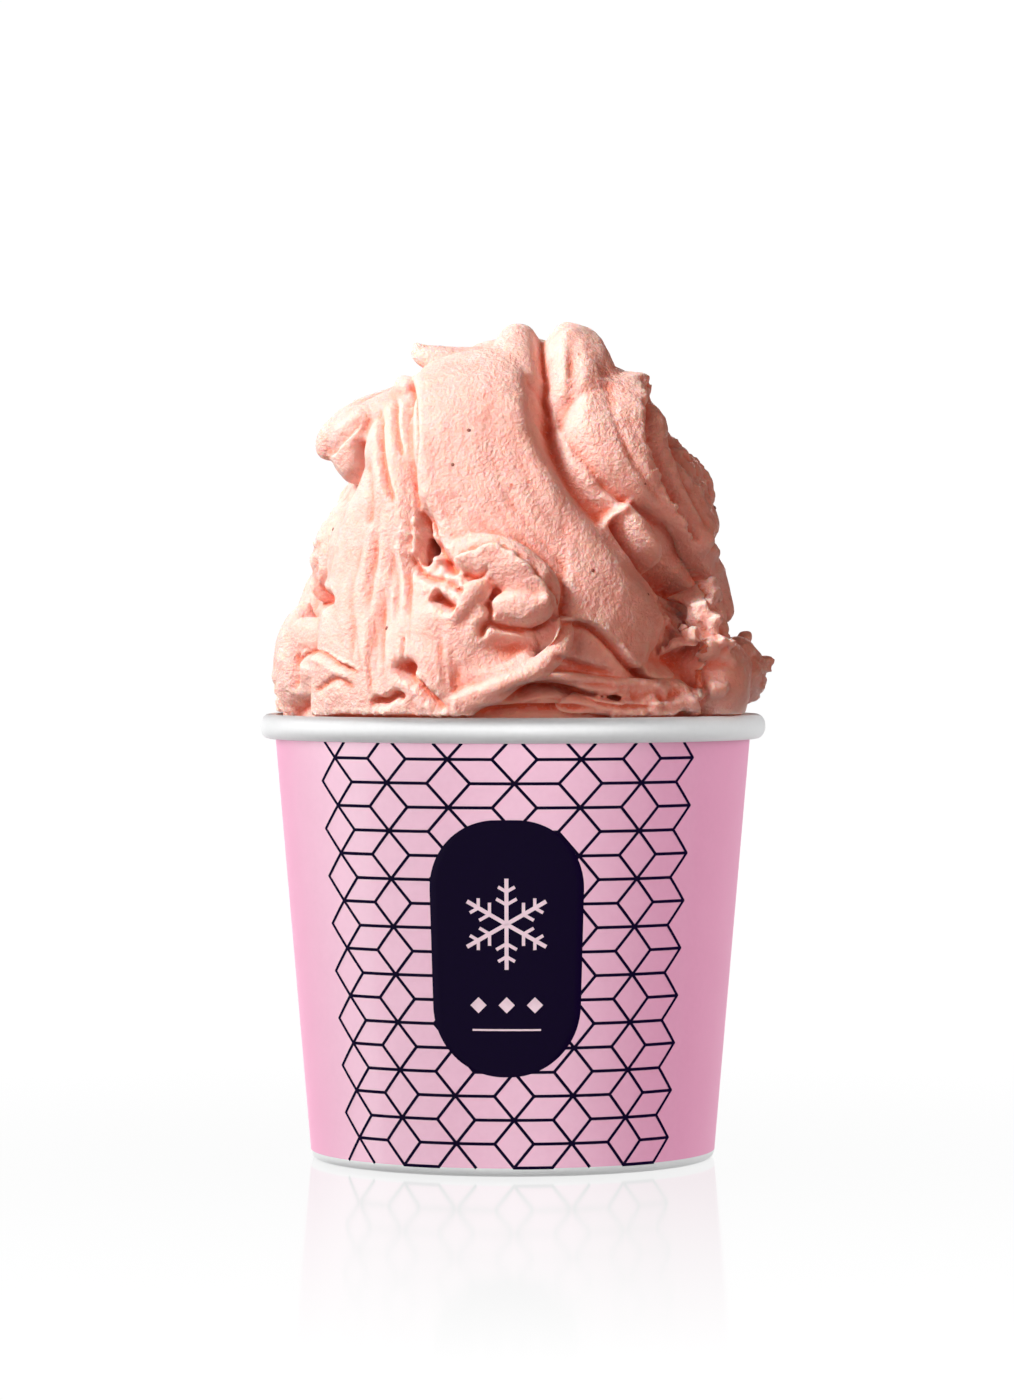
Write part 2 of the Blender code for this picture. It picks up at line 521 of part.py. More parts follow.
def mark_sheets(heap):
    """Edges and valleys of the main sweep and of the second sheet."""
    heap.ledge([(-19.3, 65), (-18.2, 60.2), (-17.6, 52.6), (-18.1, 45), (-17.4, 38)], 1.6, 7)
    heap.groove([(-19.0, 64), (-18.4, 60.2), (-17.9, 52.6), (-18.4, 45), (-17.7, 39)], 0.55, 1.0)
    heap.ledge([(6.3, 76), (8.0, 67), (8.5, 60), (10.4, 53.6), (14.2, 46.8), (17.4, 43.2), (20.6, 39.8),
                (24.4, 34.2), (29.5, 28.2), (33.6, 24.2), (37.6, 19.4)], 1.4, 7, 0.06, 0.3)
    heap.groove([(5.6, 77), (6.6, 70), (7.4, 65.4), (7.9, 60), (9.7, 53.1), (13.5, 46.2), (17.5, 41.8),
                 (20.5, 38.6)], 2.5, 3.2, 0.05)
    heap.groove([(10.9, 73), (11.6, 66), (11.3, 60), (10.2, 55.5)], 1.3, 1.8, 0.25)
    heap.groove([(17, 70), (18.6, 62), (18.2, 55)], 1.6, 0.5, 0.3)
    heap.groove([(5.8, 66), (7.6, 54), (11.4, 46.6), (16.8, 39.6), (22.4, 32.6), (28.6, 25.6),
                 (33.2, 20)], 3.4, 3.6, 0.1)
    heap.groove([(20.6, 38.8), (22.0, 36.2), (24.4, 32.8), (27.6, 29.0), (31.4, 25.0), (35.4, 20.8)],
                0.95, 5.0, 0.1)
    heap.groove([(25.0, 40), (31.4, 31.5), (36.2, 24), (40.0, 18.0)], 0.45, 1.4, 0.2)
    heap.ledge([(33.5, 32), (29.5, 40), (26.8, 48), (24.8, 55), (25.4, 60), (24.4, 66)], 1.8, 6, 0.06,
               0.9)
    heap.groove([(26.5, 62), (26.2, 55), (28.2, 48), (31, 40), (35, 32)], 1.4, 1.8, 0.1)
    heap.ledge([(36, 29), (37.6, 36), (37.0, 45), (34.2, 53)], 2.0, 4, 0.15, 0.9)
    heap.ledge([(34.8, -1), (34.4, 4.5), (35.0, 10), (36.6, 14)], 2.8, 4, 0.1, 0.5)
    heap.ledge([(9, 17.9), (14, 17.4), (18.6, 14), (22.5, 9.6), (25.8, 6.9), (31, 7.5)], 2.8, 7, 0.08)
    heap.groove([(9, 17.2), (14, 16.9), (18.2, 13.4), (22.1, 9), (25.5, 6.2)], 0.6, 1.6)
    heap.groove([(7.5, 10.8), (12.5, 9.4), (19.5, 7.4)], 0.7, 1.4)


def mark_leaf(heap):
    """The outline of the leaf, the crease under its curl, and the crevices round it."""
    heap.ledge([(5, 11.5), (8.2, 14.5), (8.8, 18.5), (7.6, 23), (4.6, 26.5), (0.5, 30.2), (-4, 32.6),
                (-8, 31), (-13, 28.7)], 2.0, 6, 0.05, 0.5)
    heap.groove([(-17.6, 41), (-16.0, 36), (-14.8, 32.2), (-12.2, 28.4), (-10, 27)], 0.9, 4.2)
    heap.groove([(-20.5, 31), (-17, 26.5), (-13, 25.4), (-9.6, 23.4)], 0.8, 1.6)
    heap.groove([(-6.4, 14.2), (-5.2, 17.2), (-1.5, 16.4), (3, 16.2), (7.2, 17.6)], 0.7, 2.8)
    heap.groove([(-5.0, 21.6), (-4.4, 19.8), (-4.7, 17.6)], 0.6, 1.8)
    heap.groove([(-6.8, 25.4), (-4.6, 28.2)], 0.45, 1.2, 0.3)
    heap.pit((0.2, 12.4), (6, 2.8), 2.4)
    heap.groove([(-15.8, 23), (-13.6, 21.4), (-11.4, 19.9)], 1.1, 5.0)
    heap.groove([(-11.4, 24), (-9.4, 23.6)], 0.7, 2.0, 0.3)
    heap.pit((-20.6, 8.6), (1.7, 1.4), 4.5)
    heap.groove([(-21.6, 8), (-18.4, 5.4), (-15.6, 2.6), (-13, 0.4)], 0.8, 2.6)
    heap.groove([(-27.5, 2.6), (-25, 2.2), (-22.5, 3.4), (-21, 2.4)], 0.8, 3)
    heap.pit((30, 10), (3.6, 2.4), 3)
    heap.groove([(-2.5, 2.6), (4, 4.7), (10, 4.5), (16.5, 2.3)], 0.9, 5, 0.2)
    heap.groove([(-9, 0.1), (5, 0.8), (17, 0.6)], 0.8, 4, 0.2)


def mark_drape(heap):
    """Drag lines down the left drape, the horn and the lobe."""
    heap.groove([(-25.5, 59), (-25.6, 52), (-24.5, 45.5), (-23, 40)], 0.7, 1.6)
    heap.groove([(-22.6, 61), (-22.4, 55), (-21.4, 49)], 0.6, 1.1)
    heap.groove([(-28.5, 50), (-27.5, 42), (-28, 36)], 1.0, 0.9)
    heap.groove([(-27, 36), (-27.4, 28), (-29.4, 17)], 1.0, 0.8, 0.3)
    heap.groove([(-24.8, 25), (-26, 15), (-24.6, 4)], 1.0, 1.2, 0.3)
    heap.groove([(-23.4, 32), (-22.6, 24), (-22.9, 16)], 1.0, 1.1, 0.3)
    heap.groove([(-30.6, 22), (-31.8, 8)], 0.9, 0.6, 0.3)
    heap.groove([(-20.5, 36), (-20.8, 29), (-19.8, 22)], 0.9, 0.8, 0.3)
    heap.groove([(-35.3, 49.5), (-33.2, 53), (-29, 57)], 0.9, 1.2)
    heap.ledge([(-29, 8.6), (-33.5, 10.6), (-37, 12.6), (-40.5, 11.4), (-42.2, 6)], 1.6, 4, 0.15, 0.3)
    heap.groove([(-29.4, 7.6), (-33.5, 9.6), (-37.2, 12.0), (-40.6, 10.4), (-42.2, 4)], 0.7, 1.8)
    heap.groove([(-30.5, 4.6), (-34, 6.6), (-39, 3.6)], 0.6, 0.9)
    heap.pit((-35.9, 22.0), (0.9, 1.5), 3.2)


def mark_back(heap):
    """Edges and drag lines of the strokes at the right, the back and the left."""
    heap.look_from(100)
    heap.ledge([(-5, 60), (-1, 46), (5, 32), (14, 18), (22, 6)], 2.0, 7)
    heap.groove([(5, 54), (9, 38), (17, 22), (26, 8)], 0.9, 1.3)
    heap.groove([(14, 50), (20, 36), (28, 20)], 0.9, 1.2)
    heap.groove([(-3, 26), (3, 14), (10, 4)], 0.8, 1.2)
    heap.look_from(180)
    heap.ledge([(2, 70), (5, 56), (13, 42), (23, 27), (33, 12)], 2.2, 8, 0.1)
    heap.groove([(-6, 62), (-4, 50), (5, 34), (16, 19), (22, 8)], 0.9, 1.3)
    heap.groove([(-1, 60), (3, 46), (12, 31), (22, 16)], 0.8, 1.0)
    heap.ledge([(-14, 60), (-12, 46), (-5, 31), (6, 16), (15, 4)], 2.0, 7, 0.1)
    heap.groove([(-20, 52), (-17, 38), (-9, 24), (2, 10)], 0.9, 1.4)
    heap.groove([(-27, 44), (-25, 30), (-17, 16), (-8, 4)], 0.9, 1.2)
    heap.look_from(262)
    heap.groove([(-18, 52), (-8, 43), (5, 35), (15, 28)], 0.8, 1.2)
    heap.groove([(-22, 36), (-11, 27), (2, 18), (14, 12)], 0.9, 1.4)
    heap.groove([(-24, 30), (-12, 20), (2, 11)], 0.8, 1.0)
    heap.groove([(-26, 18), (-14, 9), (-3, 1)], 0.8, 1.2)
    heap.look_from(0)


# The gelato as one solid

def heap_skin():
    """The joined strokes with their marks, as a closed mesh in millimetres above the rim."""
    bm = bmesh.new()
    add_core(bm)
    for lay in (lay_main_sweep, lay_second_sheet, lay_right_side, lay_left_side, lay_leaf, lay_ropes,
                lay_back):
        lay(bm)
    mesh = bpy.data.meshes.new("strokes")
    bm.to_mesh(mesh)
    bm.free()
    strokes = new_object("strokes", mesh, bpy.context.scene.collection)
    join = strokes.modifiers.new("join", "REMESH")
    join.mode = "VOXEL"
    join.voxel_size = HEAP_VOXEL
    soften = strokes.modifiers.new("soften", "SMOOTH")
    soften.factor = 0.5
    soften.iterations = 2
    depsgraph = bpy.context.evaluated_depsgraph_get()
    skin = bpy.data.meshes.new_from_object(strokes.evaluated_get(depsgraph))
    bpy.data.objects.remove(strokes, do_unlink=True)
    flat = np.empty(len(skin.vertices) * 3, np.float32)
    skin.vertices.foreach_get("co", flat)
    heap = Sculpt(flat.reshape(-1, 3).astype(float))
    for mark in (mark_sheets, mark_leaf, mark_drape, mark_back):
        mark(heap)
    shaped = heap.result() * MM + [0, 0, CUP_HEIGHT]
    skin.vertices.foreach_set("co", shaped.astype(np.float32).ravel())
    skin.update()
    return skin


def cutter(name, profile, cutters):
    tool = turned(name, profile, cutters)
    tool.hide_render = True
    tool.display_type = "WIRE"
    return tool


def make_room(cutters):
    """The space that the heap can fill: down to just inside the rim, and wide above it."""
    corner = CUP_HEIGHT - RIM_DEPTH
    bottom = CUP_HEIGHT - ROOM_DROP
    return cutter("room", [
        (0.0, ROOM_TOP),
        (ROOM_RADIUS, ROOM_TOP),
        (ROOM_RADIUS, CUP_HEIGHT + GAP),
        (inside_radius(CUP_HEIGHT) - GAP, CUP_HEIGHT + GAP),
        (inside_radius(corner) - GAP, corner),
        (inside_radius(bottom) - GAP, bottom),
        (0.0, bottom),
    ], cutters)


def make_filling(cutters):
    """The gelato inside the cup, from the floor to just under the rim."""
    top = CUP_HEIGHT - FILLING_DROP
    corner = CUP_HEIGHT - RIM_DEPTH
    bottom = FLOOR_HEIGHT + PAPER + GAP
    return cutter("filling", [
        (0.0, top),
        (inside_radius(top) - GAP, top),
        (inside_radius(corner) - GAP, corner),
        (inside_radius(bottom) - GAP, bottom),
        (0.0, bottom),
    ], cutters)


def make_gelato(group, cutters):
    gelato = new_object("gelato", heap_skin(), group)
    thin = gelato.modifiers.new("thin", "DECIMATE")
    thin.ratio = HEAP_TRIANGLES / sum(len(face.vertices) - 2 for face in gelato.data.polygons)
    for name, operation, other in (("in_room", "INTERSECT", make_room(cutters)),
                                   ("fill_cup", "UNION", make_filling(cutters))):
        boolean = gelato.modifiers.new(name, "BOOLEAN")
        boolean.operation = operation
        boolean.solver = "EXACT"
        boolean.object = other
    gelato.data.shade_smooth()
    paint(gelato)


def main():
    clear_scene()
    group = new_collection("gelato_cup")
    cutters = new_collection("cutters")
    make_wall(group)
    make_base(group)
    make_gelato(group, cutters)


main()
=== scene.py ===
"""Looks of the heaped gelato in its printed paper cup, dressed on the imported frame.

Lengths are in metres, except for the heap and the print, which are laid out in millimetres.
"""
import math

import bmesh
import bpy
import numpy as np
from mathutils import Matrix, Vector
from mathutils.bvhtree import BVHTree


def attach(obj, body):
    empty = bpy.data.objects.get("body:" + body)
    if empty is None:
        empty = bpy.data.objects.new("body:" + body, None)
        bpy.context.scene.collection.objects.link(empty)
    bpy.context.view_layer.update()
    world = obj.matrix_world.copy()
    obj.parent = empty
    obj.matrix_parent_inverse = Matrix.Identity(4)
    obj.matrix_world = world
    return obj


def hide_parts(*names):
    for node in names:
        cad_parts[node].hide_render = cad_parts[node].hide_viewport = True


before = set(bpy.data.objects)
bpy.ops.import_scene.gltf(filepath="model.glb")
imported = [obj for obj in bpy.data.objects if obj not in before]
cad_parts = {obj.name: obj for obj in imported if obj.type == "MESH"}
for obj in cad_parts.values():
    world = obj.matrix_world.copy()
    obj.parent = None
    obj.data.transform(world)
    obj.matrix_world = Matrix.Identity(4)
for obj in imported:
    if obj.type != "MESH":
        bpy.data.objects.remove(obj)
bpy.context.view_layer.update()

# The cup, as its solids have it
CUP_HEIGHT = 0.085
RIM_RADIUS = 0.0485
RIM_DEPTH = 0.0047
WALL_TOP_RADIUS = 0.0455
WALL_FOOT_RADIUS = 0.0388
WALL_FOOT_HEIGHT = 0.002
PAPER = 0.0005
GAP = 0.0003
HEM_WIDTH = 0.0018
HEM_DEPTH = 0.0055
WHITE_FOOT = 0.0016
FLOOR_HEIGHT = 0.0060
TURN_STEPS = 180

# The heap, in millimetres over the rim
MM = 0.001
HEAP_VOXEL = 0.52
HEAP_TRIANGLES = 192000
HEAP_MIDDLE = 18.0
CORE_DEPTH = 0.95
CORE_LEAN = 1.5
CORE_HEIGHTS = [-9, 0, 12, 26, 38, 48, 56, 62, 67, 71, 73]
CORE_RADII = [43.5, 43.8, 40.5, 35.8, 33.5, 30.0, 25.5, 20.5, 14.5, 8, 0.5]
LEDGE_EDGE = 0.7
SQUARENESS = 0.8
PATH_SAMPLES = 36
FILLING_FROM = -6.0

# The eye that the heap's marks are placed for, in millimetres
EYE_DISTANCE = 977.0
EYE_HEIGHT = 17.2

# The camera, from the size of the rim and the tilt of its ellipse
CAMERA_X = -0.0011
CAMERA_HEIGHT = 0.1022
CAMERA_DROP = 0.0146
FOCAL_LENGTH = 130.8
SENSOR = 36.0

# The print, in millimetres, with angles in degrees round the cup from its front
PRINT_TURN = -2.3
PRINT_HALF_ANGLE = 50.0
PRINT_COLUMNS = 6
PRINT_LINE = 0.57
PRINT_LIFT = 0.05
INK_DEPTH = 0.00004
BLOCK_RISE = 4.45
PRINT_TOP = 80.2
PRINT_FOOT = 1.7
BADGE_TURN = -1.6
BADGE_LOW = 18.6
BADGE_HIGH = 66.2
BADGE_HALF_ANGLE = 19.2
BADGE_CORNER = 13.0
CRYSTAL_MIDDLE = 47.0
CRYSTAL_ARM = 8.2
CRYSTAL_LINE = 0.75
CRYSTAL_BARBS = ((3.6, 2.0), (6.0, 1.6))
BARB_LINE = 0.6
LOZENGE = 1.5
LOZENGE_STEP = 5.2
LOZENGE_HEIGHT = 32.0
RULE_HEIGHT = 27.4
RULE_REACH = 6.2
RULE_LINE = 0.35

# The overlap of the wall's paper: heights and lifts in millimetres, and angles in degrees
SEAM_FOOT = 2.2
SEAM_TOP = 79.8
SEAM_ANGLES = [176, 176.2, 180, 184, 187.8, 188]
SEAM_LIFTS = [0.02, 0.22, 0.24, 0.24, 0.22, 0.02]
SEAM_PAPER = 0.1 * MM

# The stage
FLOOR_SIZE = 8.0
FLOOR_SHINE = 0.24
FLOOR_ROUGHNESS = 0.09
SHINE_FROM = 0.05
SHINE_TO = 0.29
DOME_RADIUS = 3.9
WHITE_GLOW = 1.02
WORLD_STRENGTH = 0.05
AIM_HEIGHT = 0.09

# The lights: name, azimuth and elevation in degrees, size in metres, power in watts and colour
LIGHT_DISTANCE = 1.2
WHITE_LIGHT = (1.0, 1.0, 1.0)
HEAP_LIGHTS = [("heap_key", -64, 42, 0.28, 22.0, (0.92, 1.0, 1.0)),
               ("heap_front", -38, 8, 0.9, 6.0, (1.0, 0.54, 0.44)),
               ("heap_fill", 50, 8, 0.9, 4.4, (1.0, 0.42, 0.28)),
               ("heap_back", 178, 10, 0.9, 9.0, (1.0, 0.8, 0.74))]
CUP_LIGHTS = [("cup_front", -8, 12, 0.9, 0.8), ("cup_left", -125, 10, 0.9, 19.0),
              ("cup_right", 108, 10, 0.9, 11.0), ("cup_under", 0, -45, 0.9, 4.5),
              ("cup_top", 20, 62, 0.9, 3.6)]
CUP_SHEENS = [("sheen_left", -78, 10, 1.6, 68.0), ("sheen_front", -10, 6, 1.6, 66.0),
              ("sheen_right", 38, 6, 1.3, 30.0)]


# Objects

def new_object(name, data):
    item = bpy.data.objects.new(name, data)
    bpy.context.scene.collection.objects.link(item)
    return item


def mesh_points(mesh):
    flat = np.empty(len(mesh.vertices) * 3, np.float32)
    mesh.vertices.foreach_get("co", flat)
    return flat.reshape(-1, 3).astype(float)


def set_mesh_points(mesh, points):
    mesh.vertices.foreach_set("co", points.astype(np.float32).ravel())
    mesh.update()


def mesh_from(bm, name):
    mesh = bpy.data.meshes.new(name)
    bm.to_mesh(mesh)
    bm.free()
    return mesh


def add_strip(bm, rows):
    """Faces between neighbouring rows of points."""
    made = [[bm.verts.new(point) for point in row] for row in rows]
    for low, high in zip(made, made[1:]):
        for k in range(len(low) - 1):
            bm.faces.new((low[k], low[k + 1], high[k + 1], high[k]))


def evaluated_mesh(item):
    """The mesh of an object with its modifiers, and the object removed."""
    depsgraph = bpy.context.evaluated_depsgraph_get()
    mesh = bpy.data.meshes.new_from_object(item.evaluated_get(depsgraph))
    bpy.data.objects.remove(item, do_unlink=True)
    return mesh


def dress(item, node, slot, *materials):
    """Ride the one body, stand for a node where one is given, and wear the materials. The slot is not
    used.
    """
    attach(item, "root")
    if node:
        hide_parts(node)
    for material in materials:
        item.data.materials.append(material)


# Materials

class Nodes:
    """A short way to write a material's node tree."""

    def __init__(self, name):
        self.material = bpy.data.materials.new(name)
        self.material.use_nodes = True
        self.tree = self.material.node_tree
        self.place = self.add("ShaderNodeTexCoord", "Object", {})

    def fill(self, node, inputs):
        """Link each input to a socket, or set it to a plain value."""
        for key, value in inputs.items():
            if isinstance(value, bpy.types.NodeSocket):
                self.tree.links.new(value, node.inputs[key])
            else:
                node.inputs[key].default_value = value

    def add(self, kind, output, inputs, **settings):
        """Add a node with its settings and inputs, and give the named output."""
        node = self.tree.nodes.new(kind)
        for key, value in settings.items():
            setattr(node, key, value)
        self.fill(node, inputs)
        return node.outputs[output]

    def set(self, name, value):
        """Set or link an input of the shader."""
        self.fill(self.tree.nodes["Principled BSDF"], {name: value})

    def surface(self, shader):
        """Wear another shader in place of the usual one."""
        self.fill(self.tree.nodes["Material Output"], {"Surface": shader})

    def stretched(self, scale):
        return self.add("ShaderNodeMapping", "Vector", {"Vector": self.place, "Scale": scale})

    def noise(self, scale, detail=2.0, rough=0.5, vector=None):
        inputs = {"Vector": vector or self.place, "Scale": scale, "Detail": detail, "Roughness": rough}
        return self.add("ShaderNodeTexNoise", "Fac", inputs)

    def attribute(self, name):
        return self.add("ShaderNodeAttribute", "Fac", {}, attribute_name=name)

    def span(self, source, low, high, to_low=0.0, to_high=1.0):
        inputs = {"Value": source, "From Min": low, "From Max": high, "To Min": to_low, "To Max": to_high}
        return self.add("ShaderNodeMapRange", "Result", inputs)

    def math(self, operation, first, second):
        return self.add("ShaderNodeMath", "Value", {0: first, 1: second}, operation=operation)

    def blend(self, share, first, second):
        """A mix of two colours, each of them plain or from a node."""
        first, second = ((*side, 1.0) if isinstance(side, tuple) else side for side in (first, second))
        return self.add("ShaderNodeMix", 2, {0: share, 6: first, 7: second}, data_type="RGBA")

    def bump(self, height, strength, distance, before=None):
        inputs = {"Height": height, "Strength": strength, "Distance": distance}
        if before:
            inputs["Normal"] = before
        return self.add("ShaderNodeBump", "Normal", inputs)


def gelato_material():
    """Peach-pink gelato: pale where light reaches, painted shade of deep coral in the creases, painted
    highlight on ridges, icy grain.
    """
    look = Nodes("gelato_peach")
    look.set("Subsurface Weight", 0.6)
    look.set("Subsurface Radius", (1.0, 0.30, 0.18))
    look.set("Subsurface Scale", 0.0012)
    look.set("Specular IOR Level", 0.4)
    mottle = look.noise(140.0, 3.0, 0.55)
    tone = look.blend(look.span(mottle, 0.35, 0.65), (0.86, 0.48, 0.415), (0.88, 0.55, 0.485))
    # Painted shade: deep red-coral mixed in where the surface lies in broad hollows, where shade falls.
    wide = look.span(look.attribute("hollow_wide"), 0.05, 1.3)
    tone = look.blend(wide, tone, (0.74, 0.15, 0.085))
    # Painted shade: coral mixed in at the creases, by how deep each point lies under its near
    # surroundings.
    near = look.span(look.attribute("hollow_near"), 0.02, 0.28)
    tone = look.blend(look.math("MULTIPLY", near, 0.8), tone, (0.80, 0.24, 0.14))
    # Painted highlight: a paler peach on the ridges, where the near depth is below zero.
    ridge_painted_highlight = look.span(look.attribute("hollow_near"), -0.02, -0.25, 0.0, 0.65)
    tone = look.blend(ridge_painted_highlight, tone, (0.93, 0.71, 0.63))
    frost = look.span(look.noise(1500.0, 2.0, 0.6), 0.56, 0.72, 0.0, 0.30)
    look.set("Base Color", look.blend(frost, tone, (0.94, 0.75, 0.68)))
    look.set("Roughness", look.span(look.noise(420.0, 3.0), 0.3, 0.7, 0.44, 0.66))
    patch = look.span(look.noise(60.0, 2.0), 0.38, 0.62, 0.45, 1.0)
    grain = look.math("MULTIPLY", look.noise(1150.0, 3.0, 0.62), patch)
    drag = look.noise(520.0, 3.0, 0.6, look.stretched((1.0, 1.0, 0.16)))
    normal = look.bump(drag, 0.35, 0.0006)
    normal = look.bump(grain, 1.0, 0.0008, normal)
    look.set("Normal", normal)
    return look.material


def speck_material():
    """Fruit seeds and skins caught in the gelato."""
    look = Nodes("fruit_speck")
    look.set("Base Color", look.blend(look.noise(2500.0), (0.20, 0.06, 0.05), (0.36, 0.12, 0.08)))
    look.set("Roughness", 0.4)
    return look.material


def paper_material(name, low, high, roughness):
    """Coated paper board with faint fibre mottling, between two near colours."""
    look = Nodes(name)
    fibre = look.noise(900.0, 4.0, 0.6)
    cloud = look.noise(70.0, 2.0)
    shade = look.math("MULTIPLY", look.math("ADD", fibre, cloud), 0.5)
    look.set("Base Color", look.blend(look.span(shade, 0.35, 0.65), low, high))
    look.set("Roughness", look.span(fibre, 0.3, 0.7, roughness - 0.05, roughness + 0.05))
    look.set("Normal", look.bump(fibre, 0.12, 0.00008))
    look.set("Specular IOR Level", 0.8)
    return look.material


def ink_material():
    """Dark aubergine ink on coated paper."""
    look = Nodes("dark_ink")
    fibre = look.noise(1100.0, 3.0)
    look.set("Base Color", look.blend(fibre, (0.0055, 0.0004, 0.022), (0.0075, 0.0008, 0.029)))
    look.set("Roughness", look.span(fibre, 0.3, 0.7, 0.58, 0.68))
    look.set("Normal", look.bump(fibre, 0.1, 0.00005))
    look.set("Specular IOR Level", 0.01)
    return look.material


# Shapes of the heap

def smooth_path(points, count):
    """A smooth curve through a few given points, as count points."""
    given = np.array(points, float)
    padded = np.vstack([2 * given[0] - given[1], given, 2 * given[-1] - given[-2]])
    place = np.linspace(0, len(given) - 1, count)
    index = np.minimum(place.astype(int), len(given) - 2)
    t = (place - index)[:, None]
    a, b, c, d = (padded[index + k] for k in range(4))
    curve = 2 * b + (c - a) * t
    curve += (2 * a - 5 * b + 4 * c - d) * t ** 2
    curve += (3 * b - a - 3 * c + d) * t ** 3
    return curve / 2


def cell_value(cell, seed):
    """A repeatable number from -1 to 1 for each whole-number cell."""
    mixed = cell[:, 0] * 73856093 ^ cell[:, 1] * 19349663 ^ cell[:, 2] * 83492791 ^ seed * 40503
    mixed = (mixed ^ (mixed >> 13)) * 1274126177 & 0xFFFFFFFF
    return ((mixed ^ (mixed >> 15)) & 0xFFFF) / 32767.5 - 1.0


def noise(points, size, seed):
    """Soft unevenness from -1 to 1, with lumps of about the given size."""
    scaled = points / size
    cell = np.floor(scaled).astype(np.int64)
    part = scaled - cell
    part = part * part * (3 - 2 * part)
    total = np.zeros(len(points))
    for corner in np.ndindex(2, 2, 2):
        near = np.where(corner, part, 1 - part)
        total += near.prod(axis=1) * cell_value(cell + np.array(corner), seed)
    return total


def core_radius(height):
    return float(np.interp(height, CORE_HEIGHTS, CORE_RADII))


def outward(point):
    """Unit direction away from the middle of the heap."""
    way = np.array([point[0], point[1], (point[2] - HEAP_MIDDLE) / 1.5])
    return way / np.linalg.norm(way)


def front(x, height, lift=0.0):
    """A point on the front of the core, pushed outwards by lift."""
    depth = math.sqrt(max(core_radius(height) ** 2 - x ** 2, 9.0))
    point = np.array([x, -depth * CORE_DEPTH, height])
    return point + lift * outward(point)


def around(angle, height, lift=0.0):
    """A point on the core at an angle in degrees, 0 at the front and 90 at the right."""
    turn = math.radians(angle)
    radius = core_radius(height)
    point = np.array([radius * math.sin(turn), -radius * math.cos(turn) * CORE_DEPTH, height])
    return point + lift * outward(point)


def add_core(bm):
    """The plain heap that carries the strokes."""
    made = bmesh.ops.create_uvsphere(bm, u_segments=60, v_segments=40, radius=1.0)
    low, high = CORE_HEIGHTS[0], CORE_HEIGHTS[-1]
    for vert in made["verts"]:
        height = low + (vert.co.z + 1) / 2 * (high - low)
        flat = math.hypot(vert.co.x, vert.co.y)
        scale = core_radius(height) / flat if flat > 0.01 else 0.0
        lean = CORE_LEAN * max(0.0, height - 30) / 40
        vert.co = (vert.co.x * scale + lean, vert.co.y * scale * CORE_DEPTH, height)


def add_stroke(bm, path, widths, thicks, lean=0.0, ragged=0.0, hug=0.0, stations=40, sides=26):
    """A spatula stroke: a flat oval swept along a path, rounded at both ends.

    Widths and thicks are half sizes along the path. Lean tips the stroke about its path, in
    degrees, so that one edge stands proud. Ragged is how far its skin wanders. Hug is 1 where
    the oval bends round the heap and 0 where it stays flat.
    """
    centre = smooth_path(path, stations)
    half_width = smooth_path([[w] for w in widths], stations)[:, 0]
    half_thick = smooth_path([[t] for t in thicks], stations)[:, 0]
    along = np.gradient(centre, axis=0)
    along /= np.linalg.norm(along, axis=1)[:, None]
    travelled = np.append(0, np.cumsum(np.linalg.norm(np.diff(centre, axis=0), axis=1)))
    angles = np.linspace(0, 2 * math.pi, sides, endpoint=False)
    wide = np.sign(np.cos(angles)) * np.abs(np.cos(angles)) ** SQUARENESS
    deep = np.sign(np.sin(angles)) * np.abs(np.sin(angles)) ** SQUARENESS
    tilt = math.radians(lean)
    rings = []
    for k in range(stations):
        up = outward(centre[k])
        across = np.cross(along[k], up)
        across /= np.linalg.norm(across)
        up = np.cross(across, along[k])
        level, upright = across, up
        across = level * math.cos(tilt) + upright * math.sin(tilt)
        up = upright * math.cos(tilt) - level * math.sin(tilt)
        to_end = min(travelled[k], travelled[-1] - travelled[k]) / (1.2 * half_thick[k])
        close = math.sqrt(max(1 - (1 - min(to_end, 1)) ** 2, 0.02))
        sideways = wide * half_width[k] * (0.35 + 0.65 * close)
        bend = hug * sideways ** 2 / (2 * max(np.hypot(*centre[k][:2]), half_width[k]))
        outwards = deep * half_thick[k] * close - bend
        rings.append(centre[k] + np.outer(sideways, across) + np.outer(outwards, up))
    skin = np.array(rings).reshape(-1, 3)
    if ragged:
        skin = skin + ragged * np.stack([noise(skin, 3.0, seed) for seed in range(3)], axis=1)
    verts = [bm.verts.new(point) for point in skin]
    for k in range(stations - 1):
        for side in range(sides):
            here = k * sides + side
            beside = k * sides + (side + 1) % sides
            bm.faces.new((verts[here], verts[beside], verts[beside + sides], verts[here + sides]))
    bm.faces.new(verts[:sides][::-1])
    bm.faces.new(verts[-sides:])


def add_lump(bm, centre, radii, seed, rough=0.2, detail=2):
    """A rounded lump with an uneven skin."""
    made = bmesh.ops.create_icosphere(bm, subdivisions=detail, radius=1.0)
    unit = np.array([vert.co[:] for vert in made["verts"]])
    bumpy = 1 + rough * noise(unit + seed * 3.1, 0.7, seed)
    for vert, point, bump in zip(made["verts"], unit, bumpy):
        vert.co = np.array(centre) + point * bump * np.array(radii)


def add_crumbs(bm, path, count, sizes, spread, seed):
    """Small broken lumps scattered along a path."""
    rng = np.random.default_rng(seed)
    line = smooth_path(path, 60)
    for n in range(count):
        centre = line[int(rng.uniform(0, 60))] + rng.normal(0, spread, 3)
        radii = rng.uniform(*sizes) * rng.uniform(0.7, 1.3, 3)
        add_lump(bm, centre, radii, seed * 50 + n, 0.35, 1)


